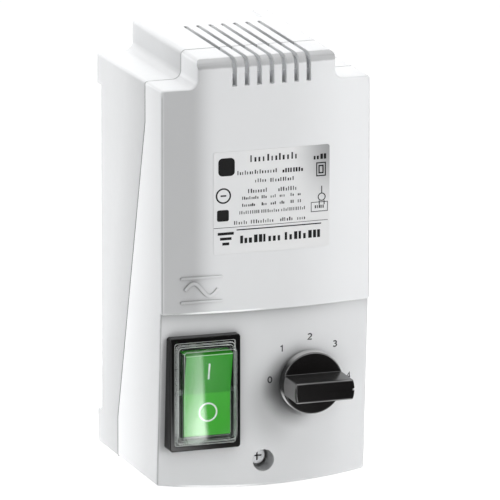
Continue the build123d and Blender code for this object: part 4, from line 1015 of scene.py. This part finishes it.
# ---------------------------------------------------------------- world
def studio_world():
    """White to the camera, an even dim light, and bright cards seen only in reflections."""
    sky = Graph(bpy.data.worlds.new("studio"), "OutputWorld")

    def window(value, low, high, soft):
        """1 between low and high, 0 outside."""
        rise = sky.span(value, (low - soft, low + soft), smooth=True)
        fall = sky.span(value, (high - soft, high + soft), to=(1.0, 0.0), smooth=True)
        return sky.times(rise, fall)

    x, y, z = sky.axes(sky.coords["Generated"])
    # azimuth from the front, positive to the right
    azimuth = sky.math("ARCTAN2", x, sky.times(y, -1.0))
    left, right = (sky.times(window(azimuth, math.radians(low), math.radians(high), soft=0.05),
                             window(z, -0.5, 0.55, soft=0.08))
                   for low, high in ((-95, -58), (62, 98)))
    overhead = window(z, 0.84, 2.0, soft=0.05)
    behind = sky.times(window(y, 0.3, 2.0, soft=0.2), window(z, -0.2, 0.72, soft=0.1))
    # each card's strength is added to a base of 0.05
    total = 0.05
    for card, strength in ((sky.add(left, right), 6.0), (overhead, 4.0), (behind, 1.5)):
        total = sky.math("MULTIPLY_ADD", card, strength, total)

    even = sky.node("Background", {"Color": (0.99, 0.995, 1.0, 1), "Strength": 0.33})
    white = sky.node("Background", {"Color": WHITE, "Strength": 1.0})
    cards = sky.node("Background", {"Color": WHITE, "Strength": total})
    ray = sky.node("LightPath").outputs
    lit = sky.mix_shader(ray["Is Glossy Ray"], even, cards)
    return sky.close(sky.mix_shader(ray["Is Camera Ray"], lit, white))


scene.world = studio_world()


# ---------------------------------------------------------------- lights and camera
def toward(azimuth, elevation):
    """Direction from degrees right of the front and degrees up."""
    turn, rise = math.radians(azimuth), math.radians(elevation)
    return Vector((math.sin(turn) * math.cos(rise), -math.cos(turn) * math.cos(rise),
                   math.sin(rise)))


def soft_box(name, azimuth, elevation, distance, width, height, watts, target):
    """A rectangular light aimed at a target, left out of reflections."""
    light = bpy.data.lights.new(name, "AREA")
    light.shape = "RECTANGLE"
    light.size, light.size_y = width, height
    light.energy = watts
    light.spread = math.radians(180)
    box = bpy.data.objects.new(name, light)
    scene.collection.objects.link(box)
    box.location = position = Vector(target) + toward(azimuth, elevation) * distance
    box.rotation_mode = "QUATERNION"
    box.rotation_quaternion = (Vector(target) - position).to_track_quat("-Z", "Y")
    box.visible_glossy = False


FRONT = (0.0, -0.08, 0.0)
MIDDLE_POINT = (0.0, 0.0, 0.0)
# name, azimuth, elevation, distance, width, height, watts, target
for row in (
    ("top_front", 0, 60, 1.1, 0.6, 0.5, 2.0, FRONT),
    ("right_grid", 50, 2, 1.2, 0.30, 0.35, 0.35, (0.06, -0.10, 0.0)),
    ("left_side", -105, 0, 0.30, 0.10, 0.40, 0.50, MIDDLE_POINT),
    ("left_rear", -140, 5, 0.35, 0.15, 0.40, 0.52, MIDDLE_POINT),
    ("right_side", 105, 0, 0.34, 0.10, 0.40, 0.50, MIDDLE_POINT),
    ("right_rear", 140, 5, 0.38, 0.15, 0.40, 0.50, MIDDLE_POINT),
    ("top_near", 180, 70, 0.45, 0.30, 0.30, 0.9, FRONT),
    ("top_back", 180, 30, 0.60, 0.40, 0.20, 0.6, FRONT),
    ("front_wash", 20, 8, 1.2, 0.45, 0.45, 5.2, FRONT),
):
    soft_box(*row)

CAMERA_TARGET = Vector((0, -0.0515, 0.003))
CAMERA_DISTANCE = 5.5
lens = bpy.data.cameras.new("camera")
camera = bpy.data.objects.new("camera", lens)
scene.collection.objects.link(camera)
sight = toward(azimuth=-18.8742, elevation=13.8709)
camera.location = CAMERA_TARGET + sight * CAMERA_DISTANCE
camera.rotation_mode = "QUATERNION"
camera.rotation_quaternion = (-sight).to_track_quat("-Z", "Y")
lens.sensor_width = 36
lens.lens = 786.93
lens.shift_x, lens.shift_y = 0.03266, 0.01040
lens.clip_start, lens.clip_end = 0.05, 60
scene.camera = camera
